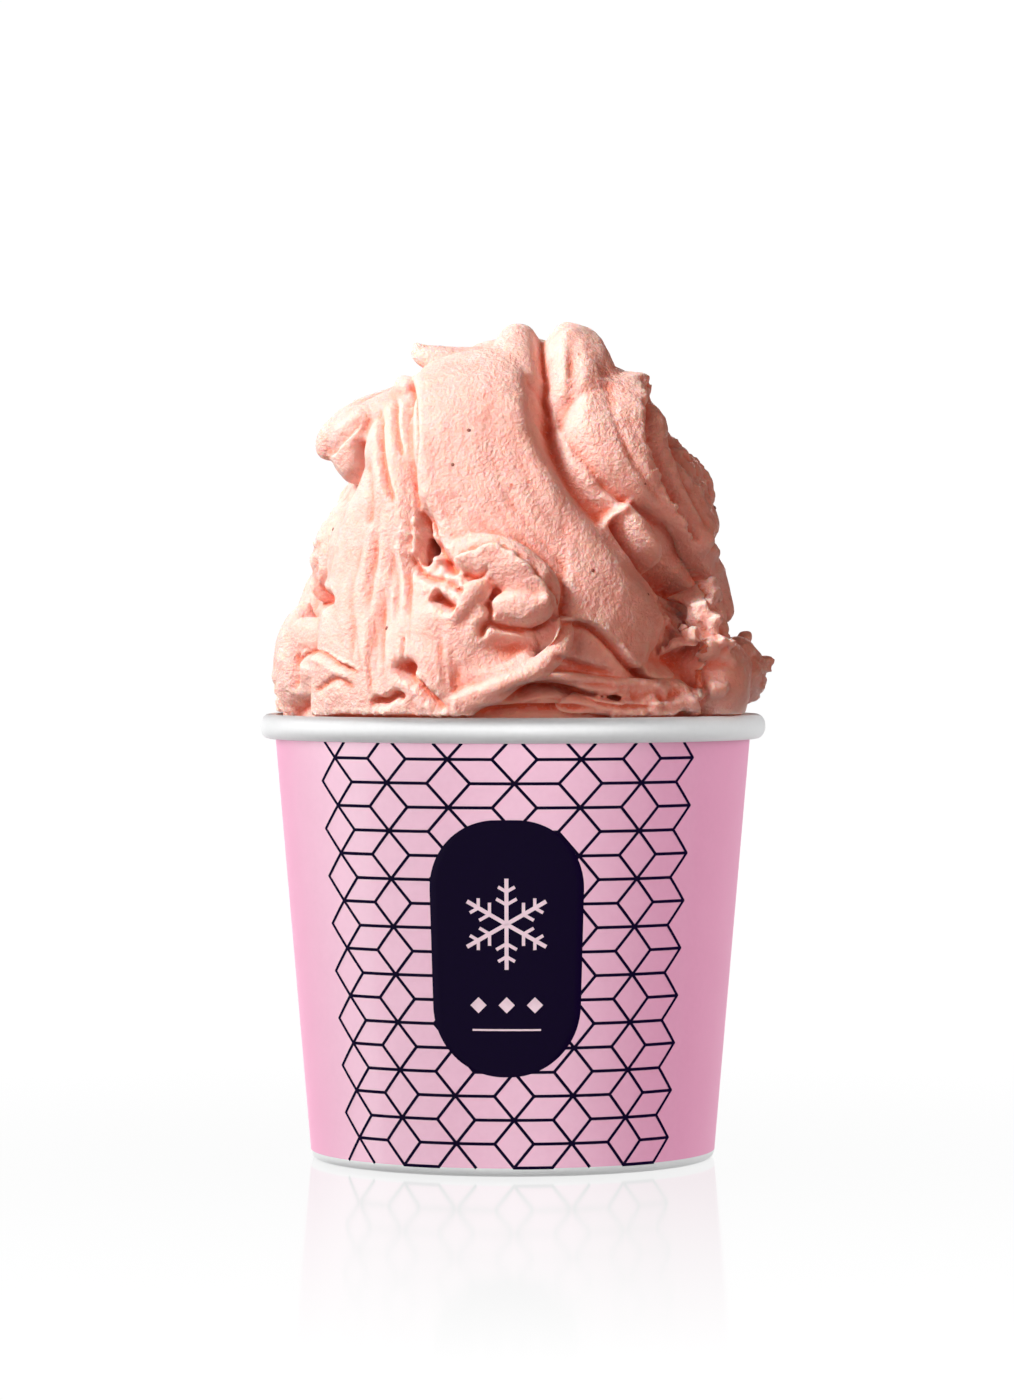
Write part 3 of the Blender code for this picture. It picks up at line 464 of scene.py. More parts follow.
def lay_main_sweep(bm):
    """The broad sheet from the top left to the lower right, with the knob at its top."""
    add_stroke(bm,
               [(-7.5, -8, 67), front(-7.5, 58, 1), front(-5, 45, 1), front(2, 32, 1.5),
                front(13, 20, 1.5), front(24, 11, 0)], [10.2, 11, 13, 16, 15, 9], [4.5, 5, 5, 5, 5, 4])
    add_stroke(bm,
               [front(2, 62, -1), front(2.6, 50, 0.3), front(7.6, 38, 1.2), front(17, 26, 1.5),
                front(23.5, 17, 0)], [7, 9, 11, 12, 9], [4, 4.5, 5, 5, 4])
    add_stroke(bm, [(-4, -6, 66.5), (-11, -6.5, 66.8), (-16.6, -7, 68.2), (-19.0, -7, 70.6)],
               [6, 5, 3, 0.6], [3.2, 3.2, 2.2, 0.5])
    add_stroke(bm, [(2.2, -2, 72.4), (1.5, -12, 67.0), (0.5, -20, 58)], [4.3, 6, 8], [4.4, 5, 5])
    add_stroke(bm, [front(6, 16, 0), front(13, 12.5, 1), front(21, 7.5, 1)], [5, 4.5, 3.5], [4, 4, 3.5])


def lay_second_sheet(bm):
    """The sheet beside it, from the top to the right, ending in strands."""
    add_stroke(bm, [(9.6, -2, 71.8), (11.8, -12, 66.4), (14.6, -20, 57)], [4.5, 7.0, 8.4], [4.9, 5, 5])
    add_stroke(bm, [(15.5, 2, 64.2), (20.5, -4, 61.8), (22.5, -8, 57)], [5, 4.2, 4], [4.0, 3.4, 4])
    add_stroke(bm,
               [front(14.6, 64, 0), front(17.6, 55, 1.4), front(21, 47.5, 2), front(26.2, 40.6, 2.2),
                front(31, 32.4, 2.4), front(35.6, 25, 2.4), front(39.4, 17.6, 1.8)],
               [9, 10.6, 10, 7, 4.2, 2.8, 1.5], [4, 4.5, 4.5, 4, 3.4, 2.6, 1.6], lean=-17)
    add_stroke(bm,
               [front(25, 50, 1.5), front(28, 42, 2), front(32, 33, 1.8), front(36, 25, 1.6),
                front(38.5, 19, 1)], [3.5, 4.4, 4.2, 3.2, 1.6], [3.2, 3.4, 3, 2.4, 1.4], lean=-6)


def lay_right_side(bm):
    """The ragged mass behind the second sheet, and the broken chunk over the rim."""
    add_stroke(bm, [(23.5, -6, 54.5), (29.0, -8.5, 46.5), (32.5, -10.5, 38), (32, -10.5, 28)],
               [5.5, 8, 8.5, 6.5], [4.6, 5.2, 5, 4], ragged=0.6)
    add_stroke(bm, [(30.0, 4, 49), (34.2, 3, 43), (36.4, 2, 36.5), (35.4, 2, 31)], [3.5, 5.5, 5.5, 3.4],
               [3.0, 3.2, 3, 2.6], ragged=0.7)
    add_stroke(bm, [front(33, 33, 1), (37.4, -10, 22.5), (40.0, -10, 17.8)], [3.4, 2.2, 1.4],
               [2.6, 2.0, 1.2], ragged=0.5)
    add_stroke(bm,
               [front(32.4, 24.6, 3), front(31.2, 20, 4.8), front(32.4, 14.5, 5.2),
                front(34.6, 9.0, 4.6)], [1.0, 2.2, 2.8, 2.6], [1.2, 2.4, 2.8, 2.4], ragged=1.2)
    add_lump(bm, (36.5, -17, 6.0), (9.4, 11.5, 9.6), 3, 0.12, 4)
    add_lump(bm, (42.0, -8, 8.6), (5.6, 8, 6.2), 4, 0.2, 3)
    add_lump(bm, (44.0, -6, 14.6), (1.6, 2, 1.6), 7, 0.3)
    add_lump(bm, (48.2, -5, 9.6), (2.0, 2.4, 1.6), 5, 0.3)
    add_lump(bm, (43.4, -5, 3.8), (3.2, 5, 2.2), 6, 0.3)
    crag = [(31.8, 22.2, 1.7), (30.4, 19.0, 2.2), (32.6, 16.2, 2.6), (31.2, 13.2, 2.2), (34.0, 11.0, 2.5),
            (34.6, 8.0, 2.4), (32.8, 6.2, 2.0), (28.6, 15.8, 1.5)]
    for n, (x, height, size) in enumerate(crag):
        add_lump(bm, front(x, height, 6.5), (size, size, size), 40 + n, 0.35, 3)
    add_crumbs(bm, [front(32.3, 23.3, 5.5), front(31.0, 19, 7.5), front(31.8, 15, 8), front(34, 10, 7)],
               30, (0.8, 1.6), 0.9, 5)
    add_lump(bm, front(29.2, 16.0, 3.2), (1.5, 1.4, 1.4), 24, 0.25, 2)
    add_crumbs(bm, [front(26.5, 12.6, 2.5), front(29, 14, 2.5), front(32, 13, 3)], 10, (0.6, 1.2), 0.6,
               6)
    add_crumbs(bm, [front(33, 6.5, 2), front(28, 3.5, 2.5), front(18, 2, 2.5)], 40, (0.9, 2.1), 0.9, 8)


def lay_left_side(bm):
    """The horn, the drape under it, the lobe over the rim, and what comes round from the back."""
    add_stroke(bm, [(-15, -14, 58), (-24.5, -11, 57.0), (-30.5, -9, 54.6)], [6.5, 5.0, 3.6],
               [4, 3.2, 2.6])
    add_stroke(bm,
               [around(196, 67, -1), around(222, 63, 0.5), around(244, 58.5, 1), (-30.6, -6, 55.2),
                (-34.6, -8.5, 51.0), (-34.6, -10, 48.8)], [3, 5.5, 5.5, 4.6, 3.2, 1.4],
               [3, 3.6, 3.6, 3.4, 2.8, 1.6], ragged=0.35, hug=1)
    add_stroke(bm, [(-25.5, -12, 57.5), (-29.6, -11, 54), (-30.6, -11, 50.5), (-28.6, -12, 44)],
               [3.4, 5.4, 4.6, 3.0], [3, 4.2, 4.0, 3.4], ragged=0.4)
    add_lump(bm, (-20.4, -11, 62.0), (2.4, 4, 2.4), 25, 0.2, 3)
    add_stroke(bm,
               [front(-20.0, 60, -1), front(-21.5, 52, 0.5), front(-22.0, 43, 1.0), front(-23.0, 33, 2),
                front(-24.0, 20, 2.5), front(-25, 8, 2), front(-26, -6, 0)],
               [2.5, 5.6, 7.0, 10, 12, 14, 14], [4, 5, 5, 5, 5, 5, 4])
    add_stroke(bm,
               [front(-25, 41, 0.5), front(-28.5, 34, 0.8), front(-29.5, 27, 0.8), front(-30, 18, 0.8),
                front(-32, 6, 0.5)], [3, 5.4, 6, 6, 7], [3.6, 4.2, 4.2, 4, 4])
    add_stroke(bm,
               [around(212, 57, -0.5), around(228, 51, 0.8), around(246, 43, -0.6), (-31.6, -4, 35.0),
                (-33.4, -9, 30.5), (-32.0, -13, 24)], [5, 7.5, 7.0, 5.6, 5.2, 4],
               [3.4, 4, 4, 4.2, 4.6, 4], ragged=0.4, hug=1)
    add_stroke(bm, [(-35.4, -9, 28.5), (-37.2, -8.5, 25.5), (-36.0, -9, 21.5)], [1.2, 1.0, 1.4],
               [1.1, 1.0, 1.4], ragged=0.3)
    add_stroke(bm, [(-38.9, -12, 21.6), (-40.0, -13, 17.0), (-40.6, -14, 11), (-40.0, -15, 1)],
               [0.7, 3.6, 5.6, 6], [0.7, 3.4, 4.6, 4.6])
    add_stroke(bm,
               [around(216, 40, -0.5), around(230, 32, 0.8), around(246, 22, 1.2), (-39.4, -3, 13.0),
                (-41.0, -12, 10.5), (-37.5, -19, 8)], [6, 8.5, 9, 7.5, 5.8, 4.5],
               [3.4, 4, 4.2, 4.2, 4.2, 3.6], lean=5, hug=1)
    add_stroke(bm, [around(224, 20, 0), around(238, 12, 0.8), around(252, 4, 0.2), around(262, -3, -2)],
               [6, 7.5, 7.5, 6], [3.4, 4, 4, 3.6], lean=5, hug=1)
    add_stroke(bm, [(-41.0, -13, 13.5), (-38.0, -18, 14.2), (-33, -23.5, 12), (-27, -29, 7.5)],
               [3.4, 4.4, 5, 5], [3.2, 3.4, 3.4, 3])
    add_stroke(bm,
               [front(-41.5, -1, -0.5), front(-39.8, 4.5, 0.5), front(-35, 7.2, 2), front(-30, 4, 2.6)],
               [3.0, 3.6, 3.6, 3.0], [3, 3, 3, 2.6])


def lay_leaf(bm):
    """The leaf of gelato folded forward low on the front, with a curl rolled over at its top."""
    add_stroke(bm, [front(-20, 22, 1.5), front(-13, 16, 4), front(-5, 13, 5), front(3.5, 16, 5)],
               [9, 11.5, 10, 6], [4, 4.5, 4, 3], lean=4)
    add_stroke(bm,
               [front(-17, 18, 3.2), front(-14.4, 9, 4.6), front(-12.2, 2.5, 4.2),
                front(-11.4, -1.5, 3)], [8, 6.6, 3.6, 1.2], [4, 3.6, 2.6, 1.4])
    add_stroke(bm,
               [front(-13, 25.5, 2.5), front(-7, 28.6, 5), front(-1.5, 27.2, 6.6),
                front(3.0, 23.5, 7.2), front(5.4, 18.6, 6.2)], [3.6, 4.2, 4.6, 4.6, 3.2],
               [3.6, 4.4, 5, 5, 3.6], ragged=0.25)
    add_lump(bm, front(-4.6, 30.2, 6.2), (2.6, 2.4, 2.4), 21, 0.2, 3)
    add_lump(bm, front(1.4, 19.9, 8.6), (5.6, 3.6, 3.7), 22, 0.08, 4)
    add_lump(bm, front(4.3, 20.9, 11.6), (1.2, 1.1, 1.2), 23, 0.1, 3)
    add_stroke(bm, [front(-3.5, 23.5, 8), front(-7.0, 20.8, 9.0), front(-9.2, 17.0, 8.6)],
               [2.0, 2.6, 2.3], [2.2, 2.8, 2.4], ragged=0.3)
    add_stroke(bm, [front(-10.5, 2.4, 5), front(-3, 6.2, 7), front(3.2, 9.6, 8), front(7.0, 13.5, 8.4),
                    front(8.0, 18.6, 7)], [2.8, 2.4, 2.2, 2.0, 1.8], [2, 2, 1.8, 1.8, 1.6], ragged=0.25)
    add_stroke(bm, [front(-6.5, 8.6, 6.4), front(-1.5, 10.0, 7.4), front(2.6, 12.2, 8.0)],
               [1.3, 1.1, 0.8], [1.4, 1.3, 0.9], ragged=0.2)


def lay_ropes(bm):
    """Thin strands pressed out along the rim at the front."""
    add_stroke(bm,
               [front(-8, 2, 2), front(-2, 5.4, 3), front(4, 7.3, 3.2), front(13, 6.9, 3.4),
                front(22, 6, 3.4), front(30, 6, 2)], [1.0, 1.4, 1.5, 1.5, 1.7, 1.6],
               [1.6, 1.6, 1.6, 1.6, 1.6, 1.6], ragged=0.2)
    add_stroke(bm, [front(8, 2.8, 2), front(18, 2.3, 2.5), front(28, 1.5, 2)], [1.6, 1.5, 1.6],
               [1.6, 1.6, 1.6], ragged=0.4)


def lay_back(bm):
    """Strokes that go round the back from one side of the front to the other."""
    add_stroke(bm, [around(150, 64, -1), around(165, 50, 0.5), around(185, 35, 1), around(205, 18, 1.5),
                    around(215, 3, 1)], [8, 12, 15, 16, 14], [4.5, 4.5, 4.5, 4.5, 4], lean=7, hug=1)
    add_stroke(bm, [around(215, 64, -1), around(226, 50, 0.5), around(234, 34, 1), around(237, 18, 1),
                    around(236, 3, 1)], [6, 9, 11, 12, 12], [4, 4.5, 4.5, 4.5, 4], lean=-6, hug=1)
    add_stroke(bm, [around(118, 61, -1), around(122, 48, 1), around(134, 34, 1.5), around(150, 20, 2),
                    around(168, 5, 1)], [6, 9, 11, 12, 10], [4, 4.5, 5, 5, 4], lean=8, hug=1)
    add_stroke(bm,
               [around(104, 50, -1), around(107, 38, -0.5), around(115, 22, 0.5), around(130, 5, 1)],
               [5, 7, 8, 9], [3.5, 4, 4, 4], lean=6, hug=1)
    add_lump(bm, around(196, 5, 0.5), (9, 4, 5), 12, 0.2, 3)
    add_lump(bm, around(140, 4, 0.5), (6, 6, 4.4), 13, 0.2, 3)
    add_lump(bm, around(232, 6, 0.5), (6, 6, 5), 14, 0.2, 3)
    add_lump(bm, around(106, 5, 0.5), (4, 7, 5), 15, 0.2, 3)


# Marks pressed into the skin of the heap

class Sculpt:
    """Collects how far each point of the skin moves outwards, from marks seen from one side."""

    def __init__(self, points):
        self.points = points
        self.moved = np.zeros(len(points))
        self.look_from(0)

    def look_from(self, angle):
        """Place the marks that follow as seen from an angle in degrees, 0 at the front."""
        turn = math.radians(angle)
        across = self.points[:, 0] * math.cos(turn) + self.points[:, 1] * math.sin(turn)
        near = self.points[:, 0] * math.sin(turn) - self.points[:, 1] * math.cos(turn)
        scale = EYE_DISTANCE / (EYE_DISTANCE - near)
        height = EYE_HEIGHT + (self.points[:, 2] - EYE_HEIGHT) * scale
        self.seen = np.stack([across * scale, height], axis=1)
        self.facing = np.clip(near / 8.0, 0, 1)

    def place(self, path, margin):
        """The points near a path, their distance from it (positive on its left) and how far along."""
        line = smooth_path(path, PATH_SAMPLES)
        low, high = line.min(axis=0) - margin, line.max(axis=0) + margin
        near = np.nonzero(((self.seen > low) & (self.seen < high)).all(axis=1))[0]
        best = np.full(len(near), 1e9)
        signed = np.zeros(len(near))
        share = np.zeros(len(near))
        for k in range(PATH_SAMPLES - 1):
            run = line[k + 1] - line[k]
            away = self.seen[near] - line[k]
            t = np.clip(away @ run / (run @ run), 0, 1)
            miss = away - t[:, None] * run
            distance = np.hypot(miss[:, 0], miss[:, 1])
            closer = distance < best
            side = np.where(run[0] * away[:, 1] > run[1] * away[:, 0], 1.0, -1.0)
            best[closer] = distance[closer]
            signed[closer] = (side * distance)[closer]
            share[closer] = ((k + t) / (PATH_SAMPLES - 1))[closer]
        return near, signed, share

    def groove(self, path, width, depth, taper=0.15):
        """A rounded groove, which fades out at both ends."""
        near, signed, share = self.place(path, 3 * width)
        fade = np.clip(np.minimum(share, 1 - share) / taper, 0, 1)
        self.moved[near] -= depth * np.exp(-(signed / width) ** 2) * fade * self.facing[near]

    def ledge(self, path, height, reach, taper=0.15, ragged=0.0):
        """Lift the left side of a path to a sharp edge that falls away over reach."""
        near, signed, share = self.place(path, 4 * reach)
        signed = signed + ragged * noise(self.points[near], 2.4, 31)
        fade = np.clip(np.minimum(share, 1 - share) / taper, 0, 1)
        rise = np.clip(signed / LEDGE_EDGE + 0.5, 0, 1)
        rise = rise * rise * (3 - 2 * rise)
        fall = np.exp(-np.clip(signed, 0, None) / reach)
        self.moved[near] += height * rise * fall * fade * self.facing[near]

    def pit(self, centre, radii, depth):
        across = (self.seen[:, 0] - centre[0]) / radii[0]
        up = (self.seen[:, 1] - centre[1]) / radii[1]
        self.moved -= depth * np.exp(-across ** 2 - up ** 2) * self.facing

    def result(self):
        way = self.points * [1, 1, 1 / 1.5] - [0, 0, HEAP_MIDDLE / 1.5]
        way /= np.linalg.norm(way, axis=1)[:, None]
        return self.points + way * self.moved[:, None]


def mark_sheets(heap):
    """Edges and valleys of the main sweep and of the second sheet."""
    heap.ledge([(-19.3, 65), (-18.2, 60.2), (-17.6, 52.6), (-18.1, 45), (-17.4, 38)], 1.6, 7)
    heap.groove([(-19.0, 64), (-18.4, 60.2), (-17.9, 52.6), (-18.4, 45), (-17.7, 39)], 0.55, 1.0)
    heap.ledge([(6.3, 76), (8.0, 67), (8.5, 60), (10.4, 53.6), (14.2, 46.8), (17.4, 43.2), (20.6, 39.8),
                (24.4, 34.2), (29.5, 28.2), (33.6, 24.2), (37.6, 19.4)], 1.4, 7, 0.06, 0.3)
    heap.groove([(5.6, 77), (6.6, 70), (7.4, 65.4), (7.9, 60), (9.7, 53.1), (13.5, 46.2), (17.5, 41.8),
                 (20.5, 38.6)], 2.5, 3.2, 0.05)
    heap.groove([(10.9, 73), (11.6, 66), (11.3, 60), (10.2, 55.5)], 1.3, 1.8, 0.25)
    heap.groove([(17, 70), (18.6, 62), (18.2, 55)], 1.6, 0.5, 0.3)
    heap.groove([(5.8, 66), (7.6, 54), (11.4, 46.6), (16.8, 39.6), (22.4, 32.6), (28.6, 25.6),
                 (33.2, 20)], 3.4, 3.6, 0.1)
    heap.groove([(20.6, 38.8), (22.0, 36.2), (24.4, 32.8), (27.6, 29.0), (31.4, 25.0), (35.4, 20.8)],
                0.95, 5.0, 0.1)
    heap.groove([(25.0, 40), (31.4, 31.5), (36.2, 24), (40.0, 18.0)], 0.45, 1.4, 0.2)
    heap.ledge([(33.5, 32), (29.5, 40), (26.8, 48), (24.8, 55), (25.4, 60), (24.4, 66)], 1.8, 6, 0.06,
               0.9)
    heap.groove([(26.5, 62), (26.2, 55), (28.2, 48), (31, 40), (35, 32)], 1.4, 1.8, 0.1)
    heap.ledge([(36, 29), (37.6, 36), (37.0, 45), (34.2, 53)], 2.0, 4, 0.15, 0.9)
    heap.ledge([(34.8, -1), (34.4, 4.5), (35.0, 10), (36.6, 14)], 2.8, 4, 0.1, 0.5)
    heap.ledge([(9, 17.9), (14, 17.4), (18.6, 14), (22.5, 9.6), (25.8, 6.9), (31, 7.5)], 2.8, 7, 0.08)
    heap.groove([(9, 17.2), (14, 16.9), (18.2, 13.4), (22.1, 9), (25.5, 6.2)], 0.6, 1.6)
    heap.groove([(7.5, 10.8), (12.5, 9.4), (19.5, 7.4)], 0.7, 1.4)


def mark_leaf(heap):
    """The outline of the leaf, the crease under its curl, and the crevices round it."""
    heap.ledge([(5, 11.5), (8.2, 14.5), (8.8, 18.5), (7.6, 23), (4.6, 26.5), (0.5, 30.2), (-4, 32.6),
                (-8, 31), (-13, 28.7)], 2.0, 6, 0.05, 0.5)
    heap.groove([(-17.6, 41), (-16.0, 36), (-14.8, 32.2), (-12.2, 28.4), (-10, 27)], 0.9, 4.2)
    heap.groove([(-20.5, 31), (-17, 26.5), (-13, 25.4), (-9.6, 23.4)], 0.8, 1.6)
    heap.groove([(-6.4, 14.2), (-5.2, 17.2), (-1.5, 16.4), (3, 16.2), (7.2, 17.6)], 0.7, 2.8)
    heap.groove([(-5.0, 21.6), (-4.4, 19.8), (-4.7, 17.6)], 0.6, 1.8)
    heap.groove([(-6.8, 25.4), (-4.6, 28.2)], 0.45, 1.2, 0.3)
    heap.pit((0.2, 12.4), (6, 2.8), 2.4)
    heap.groove([(-15.8, 23), (-13.6, 21.4), (-11.4, 19.9)], 1.1, 5.0)
    heap.groove([(-11.4, 24), (-9.4, 23.6)], 0.7, 2.0, 0.3)
    heap.pit((-20.6, 8.6), (1.7, 1.4), 4.5)
    heap.groove([(-21.6, 8), (-18.4, 5.4), (-15.6, 2.6), (-13, 0.4)], 0.8, 2.6)
    heap.groove([(-27.5, 2.6), (-25, 2.2), (-22.5, 3.4), (-21, 2.4)], 0.8, 3)
    heap.pit((30, 10), (3.6, 2.4), 3)
    heap.groove([(-2.5, 2.6), (4, 4.7), (10, 4.5), (16.5, 2.3)], 0.9, 5, 0.2)
    heap.groove([(-9, 0.1), (5, 0.8), (17, 0.6)], 0.8, 4, 0.2)


def mark_drape(heap):
    """Drag lines down the left drape, the horn and the lobe."""
    heap.groove([(-25.5, 59), (-25.6, 52), (-24.5, 45.5), (-23, 40)], 0.7, 1.6)
    heap.groove([(-22.6, 61), (-22.4, 55), (-21.4, 49)], 0.6, 1.1)
    heap.groove([(-28.5, 50), (-27.5, 42), (-28, 36)], 1.0, 0.9)
    heap.groove([(-27, 36), (-27.4, 28), (-29.4, 17)], 1.0, 0.8, 0.3)
    heap.groove([(-24.8, 25), (-26, 15), (-24.6, 4)], 1.0, 1.2, 0.3)
    heap.groove([(-23.4, 32), (-22.6, 24), (-22.9, 16)], 1.0, 1.1, 0.3)
    heap.groove([(-30.6, 22), (-31.8, 8)], 0.9, 0.6, 0.3)
    heap.groove([(-20.5, 36), (-20.8, 29), (-19.8, 22)], 0.9, 0.8, 0.3)
    heap.groove([(-35.3, 49.5), (-33.2, 53), (-29, 57)], 0.9, 1.2)
    heap.ledge([(-29, 8.6), (-33.5, 10.6), (-37, 12.6), (-40.5, 11.4), (-42.2, 6)], 1.6, 4, 0.15, 0.3)
    heap.groove([(-29.4, 7.6), (-33.5, 9.6), (-37.2, 12.0), (-40.6, 10.4), (-42.2, 4)], 0.7, 1.8)
    heap.groove([(-30.5, 4.6), (-34, 6.6), (-39, 3.6)], 0.6, 0.9)
    heap.pit((-35.9, 22.0), (0.9, 1.5), 3.2)


def mark_back(heap):
    """Edges and drag lines of the strokes at the right, the back and the left."""
    heap.look_from(100)
    heap.ledge([(-5, 60), (-1, 46), (5, 32), (14, 18), (22, 6)], 2.0, 7)
    heap.groove([(5, 54), (9, 38), (17, 22), (26, 8)], 0.9, 1.3)
    heap.groove([(14, 50), (20, 36), (28, 20)], 0.9, 1.2)
    heap.groove([(-3, 26), (3, 14), (10, 4)], 0.8, 1.2)
    heap.look_from(180)
    heap.ledge([(2, 70), (5, 56), (13, 42), (23, 27), (33, 12)], 2.2, 8, 0.1)
    heap.groove([(-6, 62), (-4, 50), (5, 34), (16, 19), (22, 8)], 0.9, 1.3)
    heap.groove([(-1, 60), (3, 46), (12, 31), (22, 16)], 0.8, 1.0)
    heap.ledge([(-14, 60), (-12, 46), (-5, 31), (6, 16), (15, 4)], 2.0, 7, 0.1)
    heap.groove([(-20, 52), (-17, 38), (-9, 24), (2, 10)], 0.9, 1.4)
    heap.groove([(-27, 44), (-25, 30), (-17, 16), (-8, 4)], 0.9, 1.2)
    heap.look_from(262)
    heap.groove([(-18, 52), (-8, 43), (5, 35), (15, 28)], 0.8, 1.2)
    heap.groove([(-22, 36), (-11, 27), (2, 18), (14, 12)], 0.9, 1.4)
    heap.groove([(-24, 30), (-12, 20), (2, 11)], 0.8, 1.0)
    heap.groove([(-26, 18), (-14, 9), (-3, 1)], 0.8, 1.2)
    heap.look_from(0)


# The gelato, finer than its solid

def comb(heap, first, last, count, width, depth, seed):
    """Drag lines of uneven length and depth, spread between two paths with as many points."""
    rng = np.random.default_rng(seed)
    first, last = np.array(first, float), np.array(last, float)
    for n in range(count):
        share = (n + rng.uniform(0.15, 0.85)) / count
        path = (1 - share) * first + share * last + rng.normal(0, 0.35, first.shape)
        line = smooth_path(path, 12)
        start = int(rng.uniform(0, 5))
        stop = int(rng.uniform(8, 13))
        heap.groove(line[start:stop], width * rng.uniform(0.6, 1.8), depth * rng.uniform(0.15, 1.4),
                    0.3)


def crumble(heap, path, reach, height, size, seed):
    """Torn, crumbly skin within reach of a path."""
    near, signed, share = heap.place(path, 2.2 * reach)
    close = np.exp(-(signed / reach) ** 2) * np.clip(np.minimum(share, 1 - share) / 0.1, 0.3, 1)
    torn = noise(heap.points[near], size, seed) + 0.6 * noise(heap.points[near], size / 2, seed + 1)
    heap.moved[near] += height * np.clip(torn + 0.1, -0.5, 1) * close * heap.facing[near]


def mark_fine_front(heap):
    """Drag lines and torn edges at the front that are too fine for the solid."""
    heap.look_from(0)
    comb(heap, [(-30, 55), (-31, 44), (-33, 32), (-35, 20), (-33, 8), (-31, 1)],
         [(-20, 58), (-19.4, 46), (-19, 36), (-19, 24), (-20, 12), (-21.5, 3)], 13, 0.6, 0.34, 1)
    comb(heap, [(-28.5, 26), (-30, 16), (-30, 8), (-28, 1)],
         [(-21.5, 26), (-20.5, 17), (-21.5, 9), (-23, 2)], 7, 0.5, 0.6, 2)
    comb(heap, [(8, 72), (10, 58), (16, 48), (24, 38), (32, 28)],
         [(21, 66), (23.5, 56), (26.5, 46), (31, 37), (37, 25)], 13, 0.5, 0.2, 3)
    comb(heap, [(26.5, 60), (28, 49), (32, 39), (35, 32)],
         [(31, 57), (36.5, 46), (39.5, 38), (39.5, 30)], 11, 0.42, 0.9, 4)
    comb(heap, [(-16.5, 66), (-16.5, 52), (-13, 38), (-4, 27), (8, 15)],
         [(-1, 70), (0.5, 57), (4.5, 44), (13, 32), (24, 19)], 14, 0.8, 0.22, 5)
    comb(heap, [(-6, 4), (5, 8.6), (18, 8), (31, 8.5)], [(-4, -0.6), (8, 2.6), (19, 0.8), (31, 0)], 8,
         0.4, 0.9, 6)
    comb(heap, [(-18, 24), (-17, 14), (-15, 4)], [(-9, 13), (-9.6, 7), (-10.5, 1)], 7, 0.5, 0.4, 7)
    comb(heap, [(-43, 14), (-38, 13.5), (-31, 8)], [(-42, 3), (-38, 4), (-30, 1)], 6, 0.45, 0.6, 8)
    crumble(heap, [(-17.8, 42), (-16.2, 36), (-15, 31), (-11.5, 27), (-9, 22)], 2.4, 1.1, 2.0, 41)
    crumble(heap, [(-21, 38), (-19.5, 31), (-16.5, 25), (-13, 22)], 2.2, 0.7, 1.8, 43)
    crumble(heap, [(33.5, 26), (31.5, 20), (32.5, 14), (35, 9)], 3.0, 1.7, 2.2, 45)
    crumble(heap, [(16, 2), (25, 3.4), (33, 5.5), (36, 2)], 3.2, 1.2, 2.4, 47)
    crumble(heap, [(24.4, 66), (25.4, 58), (26.5, 49), (30, 39), (34, 31)], 1.2, 1.0, 1.6, 49)
    crumble(heap, [(31, 57), (37, 46), (40.5, 38), (39, 28)], 3.6, 0.9, 2.0, 51)
    crumble(heap, [(-22, 9), (-19, 5.5), (-15.5, 2), (-12, 0)], 2.0, 0.9, 1.8, 53)
    crumble(heap, [(-38, 38), (-38.5, 32), (-39, 25), (-38, 21)], 3.0, 0.9, 2.4, 55)
    crumble(heap, [(8, 17), (8.6, 21), (5, 26.4), (0, 30.6), (-4, 32.4)], 1.1, 0.8, 1.5, 57)


def mark_fine_round(heap):
    """Drag lines of the same kind along the strokes at the other sides."""
    heap.look_from(180)
    comb(heap, [(-24, 56), (-24, 40), (-16, 24), (-4, 8)], [(-8, 62), (-6, 48), (4, 32), (16, 14)], 16,
         0.5, 0.6, 21)
    comb(heap, [(-6, 62), (-4, 48), (8, 32), (20, 14)], [(4, 66), (8, 52), (20, 36), (32, 18)], 14, 0.5,
         0.6, 22)
    comb(heap, [(12, 58), (18, 46), (26, 34), (34, 24)], [(22, 56), (28, 46), (34, 36), (38, 28)], 10,
         0.45, 0.5, 23)
    crumble(heap, [(-34, 18), (-20, 6), (0, 4), (20, 6), (36, 14)], 6.0, 0.7, 2.2, 61)
    heap.look_from(100)
    comb(heap, [(-10, 52), (-6, 38), (0, 24), (8, 10)], [(2, 58), (8, 42), (18, 26), (28, 10)], 15, 0.5,
         0.6, 24)
    comb(heap, [(6, 60), (16, 46), (26, 30)], [(16, 56), (26, 40), (34, 24)], 9, 0.45, 0.5, 25)
    crumble(heap, [(-30, 12), (-12, 6), (8, 6), (28, 8)], 5.0, 0.9, 2.2, 63)
    heap.look_from(262)
    comb(heap, [(-30, 50), (-20, 40), (-4, 30), (12, 22)], [(-18, 58), (-8, 50), (6, 42), (18, 34)], 15,
         0.5, 0.6, 26)
    comb(heap, [(-34, 30), (-22, 18), (-6, 8), (8, 2)], [(-26, 42), (-14, 30), (2, 20), (16, 12)], 15,
         0.5, 0.6, 27)
    crumble(heap, [(-30, 8), (-10, 4), (10, 4), (26, 8)], 4.0, 0.8, 2.2, 65)
    heap.look_from(0)


def roughen(points):
    """Unevenness finer than the strokes: soft lumps and patches of icy crumbs."""
    lumps = 0.34 * noise(points, 9.0, 1) + 0.20 * noise(points, 3.6, 2)
    patch = np.clip(noise(points, 12.0, 8) * 1.4 + 0.45, 0.15, 1)
    return lumps + patch * (0.16 * noise(points, 1.9, 5) + 0.14 * noise(points, 1.2, 6))


